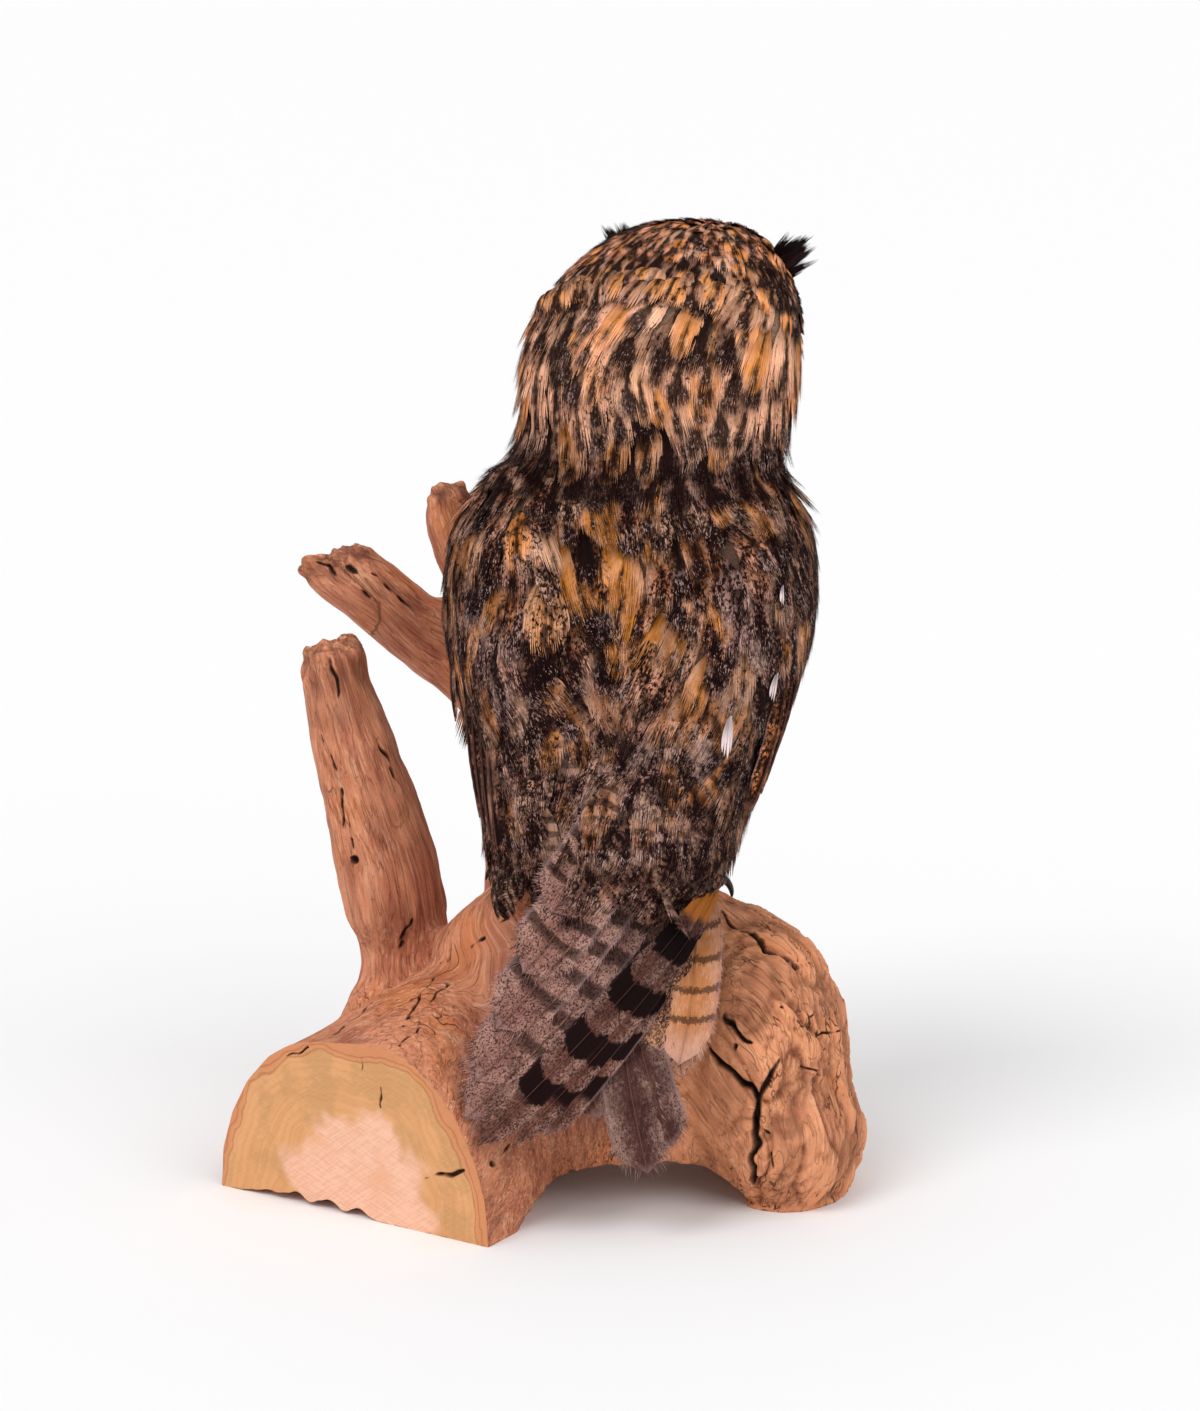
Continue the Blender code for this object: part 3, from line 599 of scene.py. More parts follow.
def lay_over_skin(roots, normals, labels, length, steps=6):
    """Centre lines that follow the lie over the skin: their points and the surface normals there."""
    line, ups = [roots], [normals]
    heading = lie(roots, normals, labels)
    heading = unit(heading + RNG.normal(0, 0.15, heading.shape))
    step = (length / steps)[:, None]
    for _ in range(steps):
        ahead = line[-1] + heading * step
        near, up = nearest_skin(ahead)
        past_end = (up * normals).sum(axis=1)[:, None] < 0.40
        up = np.where(past_end, ups[-1], up)
        drop = np.maximum(((near - ahead) * up).sum(axis=1)[:, None], -0.22 * step) * ~past_end
        up = unit(ups[-1] + up)
        line.append(ahead + up * drop)
        ups.append(up)
        turning = np.where(past_end, 0.0, 0.4)
        heading = heading * np.where(past_end, 1.0, 0.6) + lie(near, up, labels) * turning
        heading = unit(heading - (heading * up).sum(axis=1)[:, None] * up)
    return np.stack(line, axis=1), np.stack(ups, axis=1)


def along_lines(lines, t):
    """Points at shares t of each line of evenly spaced points."""
    place = np.clip(t, 0, 1) * (lines.shape[1] - 1)
    low = np.minimum(place.astype(int), lines.shape[1] - 2)
    part = (place - low)[None, :, None]
    return lines[:, low] * (1 - part) + lines[:, low + 1] * part


def bent(lines, over, along, half, rise):
    """The corners of feathers on their centre lines: half to the side of the line and rise above it."""
    window = 0.06
    ahead = along_lines(lines, along + window) - along_lines(lines, along - window)
    sideways = unit(np.cross(ahead, over))
    return along_lines(lines, along) + sideways * half[..., None] + over * rise[..., None]


def unwrap(points):
    """Places on a flat map of the skin: round the body and up it."""
    away = points - TRUNK_AXIS
    return np.stack([np.arctan2(away[:, 0], away[:, 1]) / (2 * math.pi) + 0.5, points[:, 2] / HEIGHT], axis=1)


class Plumage:
    """Collects feathers and turns them into one mesh with its maps and attributes."""

    def __init__(self):
        self.points, self.faces, self.count = [], [], 0
        self.vane, self.bake, self.ground, self.marks, self.bars, self.spot = [], [], [], [], [], []

    def add(self, pattern, points, width, length, ground, marks, bars, bake_from, bake_size):
        """Feathers of one pattern: points is (feathers, corners, 3), and the rest has a row a feather."""
        across, along, _, faces = pattern
        feathers, corners = points.shape[:2]
        self.points.append(points.reshape(-1, 3))
        steps = (np.arange(feathers) * corners)[:, None, None] + self.count
        self.faces.append((faces[None] + steps).reshape(-1, 4))
        self.count += feathers * corners
        flat = np.stack([np.clip(across * 0.5 + 0.5, 0, 1), np.clip(along, 0, 1)], axis=1)
        self.vane.append(np.tile(flat, (feathers, 1)))
        self.bake.append((bake_from[:, None] + flat[None] * bake_size).reshape(-1, 2))
        for store, values in ((self.ground, ground), (self.marks, marks), (self.bars, bars)):
            store.append(np.repeat(values, corners, axis=0))
        chance = RNG.random(feathers) * 40
        real = np.stack(np.broadcast_arrays(across[None] * width[:, None] * 500 + chance[:, None] * 9,
                                            along[None] * length[:, None] * 1000, chance[:, None]), axis=2)
        self.spot.append(real.reshape(-1, 3))

    def mesh(self, name):
        points, faces = np.concatenate(self.points), np.concatenate(self.faces)
        made = bpy.data.meshes.new(name)
        sides = np.where(faces[:, 2] == faces[:, 3], 3, 4)
        loops = faces[np.arange(4)[None] < sides[:, None]]
        made.vertices.add(len(points))
        made.loops.add(len(loops))
        made.polygons.add(len(faces))
        made.vertices.foreach_set("co", points.ravel())
        made.loops.foreach_set("vertex_index", loops)
        made.polygons.foreach_set("loop_start", np.concatenate([[0], np.cumsum(sides)[:-1]]))
        made.polygons.foreach_set("loop_total", sides)
        made.update(calc_edges=True)
        for map_name, places in (("vane", self.vane), ("OFBake", self.bake)):
            layer = made.uv_layers.new(name=map_name)
            layer.data.foreach_set("uv", np.concatenate(places)[loops].astype(np.float32).ravel())
        set_attribute(made, "ground", "FLOAT_COLOR", np.concatenate(self.ground))
        set_attribute(made, "marks", "FLOAT_COLOR", np.concatenate(self.marks))
        set_attribute(made, "bars", "FLOAT_COLOR", np.concatenate(self.bars))
        set_attribute(made, "spot", "FLOAT_VECTOR", np.concatenate(self.spot))
        made.shade_smooth()
        return made


# where single feathers stand out: a radius in mm, then places in mm
ORANGE_MARKS = (9, [
    (31, -28, 475), (46, -27, 500), (72, -25, 516), (62, -43, 461), (75, -45, 455), (44, -39, 435),
    (102, -40, 428), (18, -26, 426), (117, -36, 479), (3, -68, 340), (-14, -50, 382), (28, -57, 390),
    (65, -54, 400), (89, -50, 400), (96, -56, 373), (48, -65, 369), (58, -73, 322), (125, -43, 393),
    (85, -78, 297), (125, -50, 270), (97, -77, 245), (-41, -29, 368),
])
BLACK_MARKS = (8, [
    (103, -21, 520), (62, -26, 512), (86, -29, 513), (55, -32, 497), (108, -37, 491), (41, -14, 514),
    (86, -42, 484), (16, -19, 468), (34, -32, 460), (57, -42, 445), (90, -44, 434), (3, 7, 495),
    (125, -31, 460), (3, -7, 457), (90, -47, 408), (34, -58, 402), (113, -58, 373), (2, -73, 276),
    (34, -71, 338), (57, -70, 345), (122, -61, 293), (-37, -42, 347), (11, -53, 384), (148, -31, 345),
    (90, -88, 212), (57, -45, 417), (122, -49, 256), (17, -70, 295),
])
GREY_MARKS = (14, [
    (-17, -64, 323), (-23, -60, 293), (-34, -49, 325), (45, -75, 290), (60, -80, 270), (62, -90, 253),
    (113, -64, 340), (124, -60, 322), (90, -80, 274), (34, -91, 242), (56, -99, 227),
])


def marked(spots, marks):
    """How strongly each place belongs to one of the marks."""
    radius, centres = marks
    gaps = np.linalg.norm(spots[:, None] * 1000 - np.array(centres, float)[None], axis=2).min(axis=1)
    return fade_out(gaps, radius * 0.7, radius * 1.2)


def feather_colours(spots, plan):
    """Each feather's ground colour and the strength of its markings, with patches and chance in them."""
    count = len(spots)
    ground = plan[:, 4:7].copy()
    streak, speckle, fleck, tone, patch = plan[:, 7:12].T.copy()
    orange_mark, black_mark = marked(spots, ORANGE_MARKS), marked(spots, BLACK_MARKS)
    mood = RNG.random(count)
    warm = smooth_step(cloud(spots, 0.017, 3.0) + RNG.normal(0, 0.16, count), 0.16, 0.44)
    warm = np.maximum(warm, (mood > 0.86) * 0.9) * patch * (1 - black_mark)
    warm = np.maximum(warm, orange_mark * 0.9)
    black = smooth_step(cloud(spots, 0.022, 9.0) + RNG.normal(0, 0.16, count), 0.20, 0.48)
    black = np.maximum(black, (mood < 0.17) * 0.9) * patch * (1 - orange_mark) * (1 - warm)
    black = np.maximum(black, black_mark)
    grey = marked(spots, GREY_MARKS) * (1 - warm)
    orange, pale, ash = (np.array(colour(*c)[:3]) for c in ((224, 150, 62), (236, 194, 164), (196, 160, 152)))
    paler = ((mood > 0.17) & (mood < 0.36)) * 0.8
    for share, shade in ((warm, orange), (paler * patch, pale), (grey, ash)):
        ground = ground * (1 - share[:, None]) + shade * share[:, None]
    tone = tone * (1 + RNG.normal(0, 0.16, count)) * (1 - black * 0.7)
    speckle = np.maximum(speckle * (1 - warm * 0.6) * (0.75 + 0.45 * RNG.random(count)), grey * 0.9)
    streak = streak * (1 - warm * 0.6) * (1 - grey * 0.6) * (0.45 + 1.0 * RNG.random(count)) + black * 0.55
    ground = np.concatenate([ground * tone[:, None], np.ones((count, 1))], axis=1)
    marks = np.stack([streak, speckle, fleck, 1 - black], axis=1)
    return ground, marks


def plumage_finish(name, roughness, speck_colour=(22, 9, 9), zones=1.0):
    """Barbs, shaft streaks, speckled bars and pale flecks, drawn by each feather's own map and attributes."""
    f = Finish(name, Roughness=roughness)
    f.shader.inputs["Specular IOR Level"].default_value = 0.06
    side, along, _ = f.split(f.add("ShaderNodeUVMap", {"uv_map": "vane"}))
    off = (side * 2.0 - 1.0).math("ABSOLUTE")
    spot = f.attribute("spot", "Vector")
    across_mm, along_mm, chance = f.split(spot)
    streak, speckle, fleck = f.split(f.attribute("marks"))
    pale_edges = f.attribute("marks", "Alpha")
    bar_count, bar_share, bar_strength = f.split(f.attribute("bars"))
    base_orange = f.attribute("bars", "Alpha")
    long_feather = bar_count.step(0.5, 1.0)
    ground = f.attribute("ground")
    hair = f.noise(f.scaled(spot, 2.1, 0.11, 1.0), 1.0, 2.0, 0.6)
    lock = f.noise(f.scaled(spot, 0.75, 0.10, 1.0), 1.0, 1.0)
    wave = f.noise(f.scaled(spot, 0.20, 0.17, 1.0), 1.0, 2.0)
    tufted = (hair - 0.5) * 3.4 + (lock - 0.5) * 3.4
    combed = along_mm + tufted
    speck = f.noise(f.vector(across_mm * 0.50, combed * 0.40, chance), 1.0, 2.0, 0.65, 0.3)
    specks = (1.0 - (speck - speckle * 0.24).step(0.26, 0.32)) * speckle.step(0.20, 0.50)
    edge = off + (wave - 0.5) * 1.5 + (hair - 0.5) * 0.9 + (lock - 0.5) * 0.5
    shape = off + (wave - 0.5) * 0.60 + (hair - 0.5) * 0.36 + (lock - 0.5) * 0.26
    reach = streak * (0.40 + along.step(0.45, 0.80) * 0.66)
    ending = (1.0 - (along + tufted * 0.006).step(0.84, 0.97)).math("MAXIMUM", streak.step(0.65, 0.90))
    in_streak = (1.0 - shape.step(reach - 0.20, reach + 0.20)) * streak.step(0.02, 0.10) * ending
    phase = along * bar_count + (wave - 0.5) * 0.25 + off * off * 0.14 + tufted * 0.008
    bar = (phase.math("FRACT") - 0.5).math("ABSOLUTE") * 2.0
    bar = bar + (speck - 0.5) * (1.12 - bar_strength) * 2.0
    in_bar = bar.step(0.93 - bar_share, 1.07 - bar_share) * bar_strength * (1.0 - along.step(0.78, 0.84))
    dark = colour(25, 8, 8)
    rich = f.mix(edge.step(0.15, 0.95) * pale_edges * 0.40, ground, colour(232, 198, 180))
    paint = f.mix(0.35, rich, f.mix(1.0, ground, colour(250, 222, 190), "MULTIPLY"))
    x, y, z = f.split(f.place())
    drawn = f.vector(x * 95.0, y * 95.0, (z + tufted * 0.0007) * 50.0)
    zone = f.noise(drawn, 1.0, 2.0, 0.55)
    lit, dim = zone.step(0.50, 0.66) * zones, (1.0 - zone.step(0.34, 0.47)) * zones
    paint = f.mix(lit * 0.16, paint, f.mix(1.0, paint, colour(255, 220, 180), "ADD"))
    paint = f.mix(specks * (0.97 - lit * 0.55), paint, colour(*speck_colour))
    paint = f.mix(dim * speckle.step(0.25, 0.6) * 0.85, paint, dark)
    paint = f.mix(in_streak * 0.95, paint, dark)
    orange_here = base_orange * (1.0 - (along + tufted * 0.003).step(0.085, 0.11))
    paint = f.mix(orange_here, f.mix(in_bar, paint, dark), colour(214, 132, 52))
    flecked = along.step(0.50, 0.80) * (speck + fleck * 0.10 + zone * 0.40).step(0.80, 0.87)
    flecked = flecked * fleck.step(0.02, 0.15) * (1.0 - long_feather)
    paint = f.mix(flecked * 0.60, paint, colour(204, 174, 164))
    fluff = (along + tufted * 0.008).step(0.74, 0.96) * fleck.step(0.42, 0.48) * long_feather
    paint = f.mix(fluff * 0.55, paint, colour(212, 178, 162))
    tip = (along + tufted * 0.004).step(0.93, 1.0)
    fringe = off.step(0.84, 1.0).math("MAXIMUM", tip) * (1.0 - base_orange) * long_feather
    paint = f.mix(fringe * 0.40, paint, colour(190, 158, 152))
    shaft = (1.0 - off.step(0.012, 0.030)) * long_feather
    paint = f.mix(shaft * 0.4, paint, colour(138, 100, 84))
    # painted shade: each feather darkens towards its root, where the feather above lies over it; the strand
    # noise lightens and darkens the barbs
    shade = (0.66 + hair * 0.40 + lock * 0.28) * (0.50 + 0.50 * along.step(0.12, 0.66))
    paint = f.mix(1.0, paint, f.vector(shade * 1.03, shade * 0.95, shade * 0.97), "MULTIPLY")
    return f.paint(Base_Color=paint, Normal=f.bump(hair + lock * 0.5, 0.7, 0.0008))


def skin_finish():
    f = Finish("plumage_down", Roughness=0.9)
    fine = f.noise(f.place(), 900.0, 3.0)
    base = f.attribute("ground")
    dark = f.mix(fine.step(0.35, 0.65), f.mix(0.6, base, colour(30, 16, 14)), base)
    return f.paint(Base_Color=dark, Normal=f.bump(fine, 0.5, 0.001))


def make_skin():
    labels = label_places(SKIN_POINTS)
    plan = coat_plan(SKIN_POINTS, labels)
    ground = plan[:, 4:7] * 0.45 * plan[:, 10:11]
    ground *= 1 - 0.5 * np.clip(plan[:, 7:8] + plan[:, 8:9] * 0.5, 0, 1)
    set_attribute(SKIN, "ground", "FLOAT_COLOR", np.concatenate([ground, np.ones((len(ground), 1))], axis=1))
    shown("skin", SKIN, skin_finish(), FLESH)
    SKIN.shade_smooth()


# the fans of barbs that each size of feather has: how many barbs, and how many stations along each
SIZES = {"small": [(4, 4), (6, 3)], "medium": [(8, 4), (12, 3)], "large": [(16, 4), (24, 3)]}
BAKE_PATCH = {"small": 0.003, "medium": 0.0035, "large": 0.005}


# the places tried as roots, and the patterns of each size
ROOT_TRIES, VARIANTS = 70000, 6
# heights where the wings' coat ends, and above which the coat is its upper and its head piece
WING_COAT_END, UPPER_COAT, HEAD_COAT = 0.192, 0.30, 0.43
# widths in mm above which a feather is medium or large, and the shortest length
MEDIUM_WIDTH, LARGE_WIDTH, SHORTEST = 5.8, 12, 0.010
# how far a feather's first fan clears its line, and the next fan the one before
FIRST_FAN, NEXT_FAN = 0.0004, 0.0003


def make_coat():
    roots, normals, labels, plan = scatter_roots(ROOT_TRIES)
    length = plan[:, 0] / 1000 * (0.85 + 0.3 * RNG.random(len(roots)))
    wing_end = np.maximum(roots[:, 2] - WING_COAT_END, SHORTEST)
    length = np.where(belongs(labels, "wing"), np.minimum(length, wing_end), length)
    lines, ups = lay_over_skin(roots, normals, labels, length)
    ground, marks = feather_colours(lines[:, 4], coat_plan(lines[:, 4], labels))
    width = plan[:, 1] / 1000 * (0.85 + 0.3 * RNG.random(len(roots)))
    lift = plan[:, 3] / 1000
    size = np.where(plan[:, 1] > LARGE_WIDTH, "large", np.where(plan[:, 1] > MEDIUM_WIDTH, "medium", "small"))
    piece = np.where(roots[:, 2] > UPPER_COAT, "coat_upper", "coat_lower")
    piece = np.where(roots[:, 2] > HEAD_COAT, "coat_head", piece)
    fine_limbs = belongs(labels, "leg") | belongs(labels, "foot")
    piece = np.where(fine_limbs, "coat_legs", piece)
    barred = np.zeros((len(roots), 4))
    rear = fade_out(np.abs(around(roots)), 60, 85)
    barred[:, 0] = -(4.4 + 1.6 * RNG.random(len(roots)))
    barred[:, 1] = 0.42
    barred[:, 2] = rear * fade_out(roots[:, 2], 0.27, 0.33) * (0.35 + 0.45 * RNG.random(len(roots)))
    choice = RNG.integers(0, VARIANTS, len(roots))
    finish = plumage_finish("plumage_coat", 0.72)
    for name in sorted(set(piece)):
        coat = Plumage()
        for kind, layers in SIZES.items():
            for variant, (layer, (blades, stations)) in itertools.product(range(VARIANTS), enumerate(layers)):
                mine = (piece == name) & (size == kind) & (choice == variant)
                if not mine.any():
                    continue
                pattern = fan_pattern(blades, stations, variant + 100 * blades)
                across, along, raised, _ = pattern
                half = (width[mine] / 2)[:, None] * across[None]
                rise = lift[mine][:, None] * (along[None] ** 1.3 + raised[None] * along[None])
                rise = rise - np.abs(half) * (0.16 + 0.20 * along[None]) * np.abs(across[None])
                over = unit(along_lines(ups[mine], along))
                points = bent(lines[mine], over, along, half, rise + FIRST_FAN + NEXT_FAN * layer)
                coat.add(pattern, points, width[mine], length[mine], ground[mine], marks[mine], barred[mine],
                         unwrap(roots[mine]), BAKE_PATCH[kind])
        shown(name, coat.mesh(name), finish)
    return finish


# ---------------------------------------------------------------- flight feathers and ear tufts
# the surface that the folded wings and tail lie on: height, middle x, half width, back y, front y
CARRIER = np.array([
    (0.020, 0.024, 0.100, -0.158, -0.114), (0.045, 0.026, 0.098, -0.153, -0.107),
    (0.070, 0.030, 0.094, -0.1445, -0.095), (0.110, 0.036, 0.086, -0.130, -0.072),
    (0.155, 0.040, 0.073, -0.1135, -0.032), (0.190, 0.041, 0.065, -0.1005, 0.014),
    (0.215, 0.043, 0.0675, -0.0925, 0.058), (0.238, 0.045, 0.0745, -0.0862, 0.090),
    (0.270, 0.049, 0.083, -0.078, 0.101),
])


def behind(x, height, lift):
    """The back-most surface of the folded feathers at each place, raised by lift."""
    middle_x, half, back, front = (np.interp(height, CARRIER[:, 0], CARRIER[:, k]) for k in range(1, 5))
    depth = 0.55 * (front - back)
    share = np.minimum(np.abs((x - middle_x) / half), 0.96)
    return back + depth - depth * (1 - share ** 2.25) ** (1 / 2.25) - lift


def vane_pattern(stations, fringe, seed, tip=0.80, root_width=0.34):
    """A flight feather drawn flat: two vanes, a shaft, barbs swept to the tip and a soft fringe."""
    rng = np.random.default_rng(seed)
    columns = np.array([-1, -0.74, -0.42, -0.13, -0.035, 0, 0.035, 0.13, 0.42, 0.74, 1.0])

    def width(t):
        rise = root_width + (1 - root_width) * np.sin(np.minimum(t / 0.38, 1) * math.pi / 2)
        return rise * np.sqrt(np.maximum(1 - np.maximum((t - tip) / (1 - tip), 0) ** 2.4, 0.0))

    t = 1 - (1 - np.linspace(0, 1, stations)) ** 1.45
    sweep = 0.03 * np.abs(columns) ** 1.2
    ragged = rng.normal(0, 0.5, (stations, 2)) * 0.035
    across = columns[None] * width(t)[:, None]
    across[:, 0] *= 1 + ragged[:, 0]
    across[:, -1] *= 1 + ragged[:, 1]
    along = t[:, None] * (1 - sweep[None]) + sweep[None] * (1 - t[:, None] ** 6)
    lift = np.tile(np.where(columns == 0, 0.10, 0.0), (stations, 1)) + rng.normal(0, 0.006, across.shape)
    index = np.arange(stations * len(columns)).reshape(stations, -1)
    faces = [np.stack([index[:-1, k], index[:-1, k + 1], index[1:, k + 1], index[1:, k]], axis=-1)
             for k in range(len(columns) - 1)]
    faces = np.concatenate(faces)
    across, along, lift = across.ravel(), along.ravel(), lift.ravel()
    barbs = int(stations * 14)
    place = 0.10 + 0.90 * rng.random(barbs) ** 0.75
    side = np.where(rng.random(barbs) < 0.5, -1.0, 1.0)
    inner = side * width(place) * 0.93
    reach = fringe * (0.25 + 0.75 * rng.random(barbs)) * (1 + 0.8 * smooth_step(place, 0.7, 1.0))
    ahead = 0.018 + 0.03 * rng.random(barbs)
    ahead = ahead + (0.02 + 0.035 * rng.random(barbs)) * smooth_step(place, 0.8, 1.0)
    start = place * 0.965 + 0.03 * (1 - place)
    outer = inner + side * reach * (1 - 0.4 * smooth_step(place, 0.85, 1))
    barb_across = np.stack([inner, inner, outer], axis=1)
    barb_along = np.stack([start - 0.004, start + 0.004, start + ahead], axis=1)
    first = len(across) + np.arange(barbs) * 3
    barb_faces = np.stack([first, first + 1, first + 2, first + 2], axis=1)
    across = np.concatenate([across, barb_across.ravel()])
    along = np.concatenate([along, barb_along.ravel()])
    lift = np.concatenate([lift, np.repeat(rng.normal(0, 0.02, barbs), 3)])
    return across, along, lift, np.concatenate([faces, barb_faces])


def folded(name, finish, rows, replaces, tip_start=0.74):
    """Flight feathers on the surface behind the body: rows of root, tip, width, lift, bow and markings."""
    plumage = Plumage()
    for index, row in enumerate(rows):
        root, tip, width, lift, bow, ground, marks, bars = row
        pattern = vane_pattern(30, 0.22, index + 40 * len(rows), tip_start)
        across, along, raised, _ = pattern
        root, tip = np.array(root) / 1000, np.array(tip) / 1000
        run = tip - root
        length = np.linalg.norm(run)
        side = np.array([run[1], -run[0]]) / length
        arch = bow * 4 * along * (1 - along) / 1000
        flat = root + run * along[:, None] + side * (across * width / 2000 + arch)[:, None]
        sink = 0.001 if bars[3] else 0.012
        rise = lift / 1000 - sink * fade_out(along, 0.12, 0.60) + raised * width / 2000
        rise = rise - 0.0012 * across ** 2
        points = np.stack([flat[:, 0], behind(flat[:, 0], flat[:, 1], rise), flat[:, 1]], axis=1)
        card = np.array([[(index % 4) * 0.25 + 0.02, (index // 4) * 0.25 + 0.02]])
        shades = (np.array([colour(*ground)]), np.array([[*marks, 1.0]]), np.array([bars], float))
        sizes = (np.array([width / 470]), np.array([length * 2.1]))
        plumage.add(pattern, points[None], *sizes, *shades, card, 0.21)
    shown(name, plumage.mesh(name), finish, replaces)


def make_quills():
    finish = plumage_finish("flight_feathers", 0.60, (66, 44, 40), 0.35)
    rows = []
    secondaries = [((56, 256), (6, 180)), ((62, 244), (-10, 147)), ((70, 230), (-25, 117)),
                   ((78, 214), (-37, 89)), ((84, 200), (-43, 69))]
    for index, (root, tip) in enumerate(secondaries):
        look_of_row = ((146, 110, 102), (0.0, 0.72, 0.20), (7.6, 0.40, 0.78, 0))
        rows.append((root, tip, 36, 7.4 - index * 1.1, -3, *look_of_row))
    barred = (0.0, 0.80, 0.05)
    rows.append(((97, 190), (-36, 56), 19, 4.8, -2, (112, 76, 66), barred, (5.3, 0.50, 1.0, 0.9)))
    rows.append(((102, 187), (-16, 57), 15, 3.8, -3, (112, 76, 66), barred, (5.0, 0.50, 1.0, 0.9)))
    rows.append(((100, 182), (2, 62), 14, 2.8, -3, (110, 74, 62), barred, (5.2, 0.62, 1.0, 0)))
    folded("quills_right", finish, rows, ["wing_right_quills"])
    soft = (0.0, 0.6, 0.12)
    tips = [((42, 150), (61, 41), 31, -0.6, 2, (86, 58, 56), soft, (3.0, 0.25, 0.4, 0)),
            ((48, 150), (75, 55), 26, -1.4, 3, (86, 58, 56), soft, (3.0, 0.25, 0.4, 0)),
            ((26, 140), (51, 46), 17, -1.4, -2, (84, 56, 50), soft, (3.5, 0.4, 0.7, 0)),
            ((-6, 172), (34, 70), 26, -1.9, -2, (84, 56, 50), soft, (5.0, 0.5, 0.8, 0))]
    folded("quills_left_tips", finish, tips, ["wing_left_quills"])
    tail = [((89, 197), (78, 97), 30, -3.4, -4, (190, 132, 84), (0.0, 0.06, 0.5), (6.6, 0.22, 0.72, 0)),
            ((84, 200), (66, 104), 30, -3.9, -2, (190, 146, 112), (0.0, 1.0, 0.3), (4.0, 0.15, 0.3, 0))]
    for index in range(6):
        tip = (8 + index * 14.5, 86 + 1.2 * abs(index - 2.5))
        tail.append(((50 + index * 3, 206), tip, 27, -5.2 - 0.6 * (index % 3), 0,
                     (180, 132, 102), (0.0, 0.5, 0.2), (7.0, 0.36, 1.0, 0)))
    folded("tail_feathers", finish, tail, ["tail"], 0.68)
    return finish


def make_wing_edges():
    """The long quills that close each folded wing's outer edge, laid from root to tip in the open."""
    left = [((-30, -33, 302), (-21, -73, 187), 14), ((-34, -26, 304), (-25, -60, 196), 13),
            ((-38, -18, 306), (-29, -46, 206), 13), ((-41, -9, 308), (-33, -32, 218), 12),
            ((-46, 2, 318), (-47, -2, 268), 9)]
    right = [((141, -34, 306), (120, -50, 226), 14), ((145, -25, 310), (125, -41, 234), 13),
             ((148, -15, 314), (129, -29, 244), 13)]
    edges = Plumage()
    for index, (root, tip, width) in enumerate(left + right):
        root, tip = np.array(root) / 1000, np.array(tip) / 1000
        middle = (root + tip) / 2 - TRUNK_AXIS
        up = unit(np.array([[middle[0], middle[1], 0.0]]))
        lift = 0.0002 + 0.0005 * (index % 5)
        length = np.array([np.linalg.norm(tip - root)])
        line = straight_lines(root[None] + up * lift, unit(tip - root)[None], length)
        line += up[:, None] * (np.sin(np.linspace(0, 1, 7) * math.pi) * 0.0035)[None, :, None]
        pattern = vane_pattern(26, 0.12, 300 + index, tip=0.72)
        card = np.array([[(index % 4) * 0.25 + 0.02, (index // 4) * 0.25 + 0.02]])
        warm = (206, 130, 74) if index >= len(left) else (140, 96, 78)
        marks, bars = np.array([[0.35, 1.0, 0.10, 0.5]]), np.array([[4.0 + 0.37 * index, 0.55, 0.55, 0.0]])
        shades = (np.array([colour(*warm)]), marks, bars)
        add_free(edges, pattern, line, up, np.array([width / 1000]), length, *shades, card, 0.21)
    finish = plumage_finish("wing_edge_feathers", 0.6)
    shown("wing_edge_quills", edges.mesh("edges"), finish)


def straight_lines(roots, headings, length, steps=6, sag=0.0):
    """Free feathers' centre lines, straight apart from a sag in metres at the tip."""
    share = np.linspace(0, 1, steps + 1)[None, :, None]
    lines = roots[:, None] + headings[:, None] * length[:, None, None] * share
    return lines - np.array([0, 0, sag]) * share ** 2


def add_free(plumage, pattern, lines, up, width, length, ground, marks, bars, bake_from, patch):
    """Adds feathers that stand free of the skin, flat across the given up direction."""
    across, along, raised, _ = pattern
    half = (width / 2)[:, None] * across[None]
    rise = (width / 2)[:, None] * (raised[None] * 2.0 - 0.35 * across[None] ** 2)
    points = bent(lines, up[:, None], along, half, rise)
    plumage.add(pattern, points, width, length, ground, marks, bars, bake_from, patch)


def make_ear_tufts():
    finish = plumage_finish("ear_tuft_plumes", 0.8, zones=0.0)
    for side, sign in (("left", -1), ("right", 1)):
        base = np.array([sign * 0.037, 0.034, 0.516])
        tip = np.array([sign * 0.066, 0.048, 0.5445])
        path = unit(tip - base)
        count = 120
        jitter = RNG.normal(0, 1, (count, 3))
        roots = base + jitter * np.array([0.0022, 0.0030, 0.0024]) + path * RNG.random((count, 1)) * 0.013
        headings = unit(path + jitter * 0.06 + RNG.normal(0, 0.07, (count, 3)))
        roots, headings = out_of_head(roots) + np.array([*HEAD_PLACE[:2], 0]), out_of_head(headings)
        lean = 0.075 * (roots[:, 2] - 0.4373)
        roots[:, 0] += lean
        length = np.linalg.norm(tip - base) * (0.54 + 0.16 * RNG.random(count))
        up = unit(np.cross(headings, RNG.normal(0, 1, (count, 3))))
        dark = smooth_step(RNG.random(count), 0.1, 0.5)[:, None]
        shade = np.array(colour(30, 20, 22)) * dark + np.array(colour(52, 38, 38)) * (1 - dark)
        tuft = Plumage()
        for variant in range(2):
            mine = np.arange(count) % 2 == variant
            pattern = fan_pattern(8, 5, variant + 700)
            add_free(tuft, pattern, straight_lines(roots, headings, length)[mine], up[mine],
                     np.full(mine.sum(), 0.0050), length[mine], shade[mine], np.zeros((mine.sum(), 4)),
                     np.zeros((mine.sum(), 4)), unwrap(roots[mine]), 0.004)
        shown("ear_tuft_plumes_" + side, tuft.mesh("ear_tuft"), finish, ["ear_tuft_" + side])


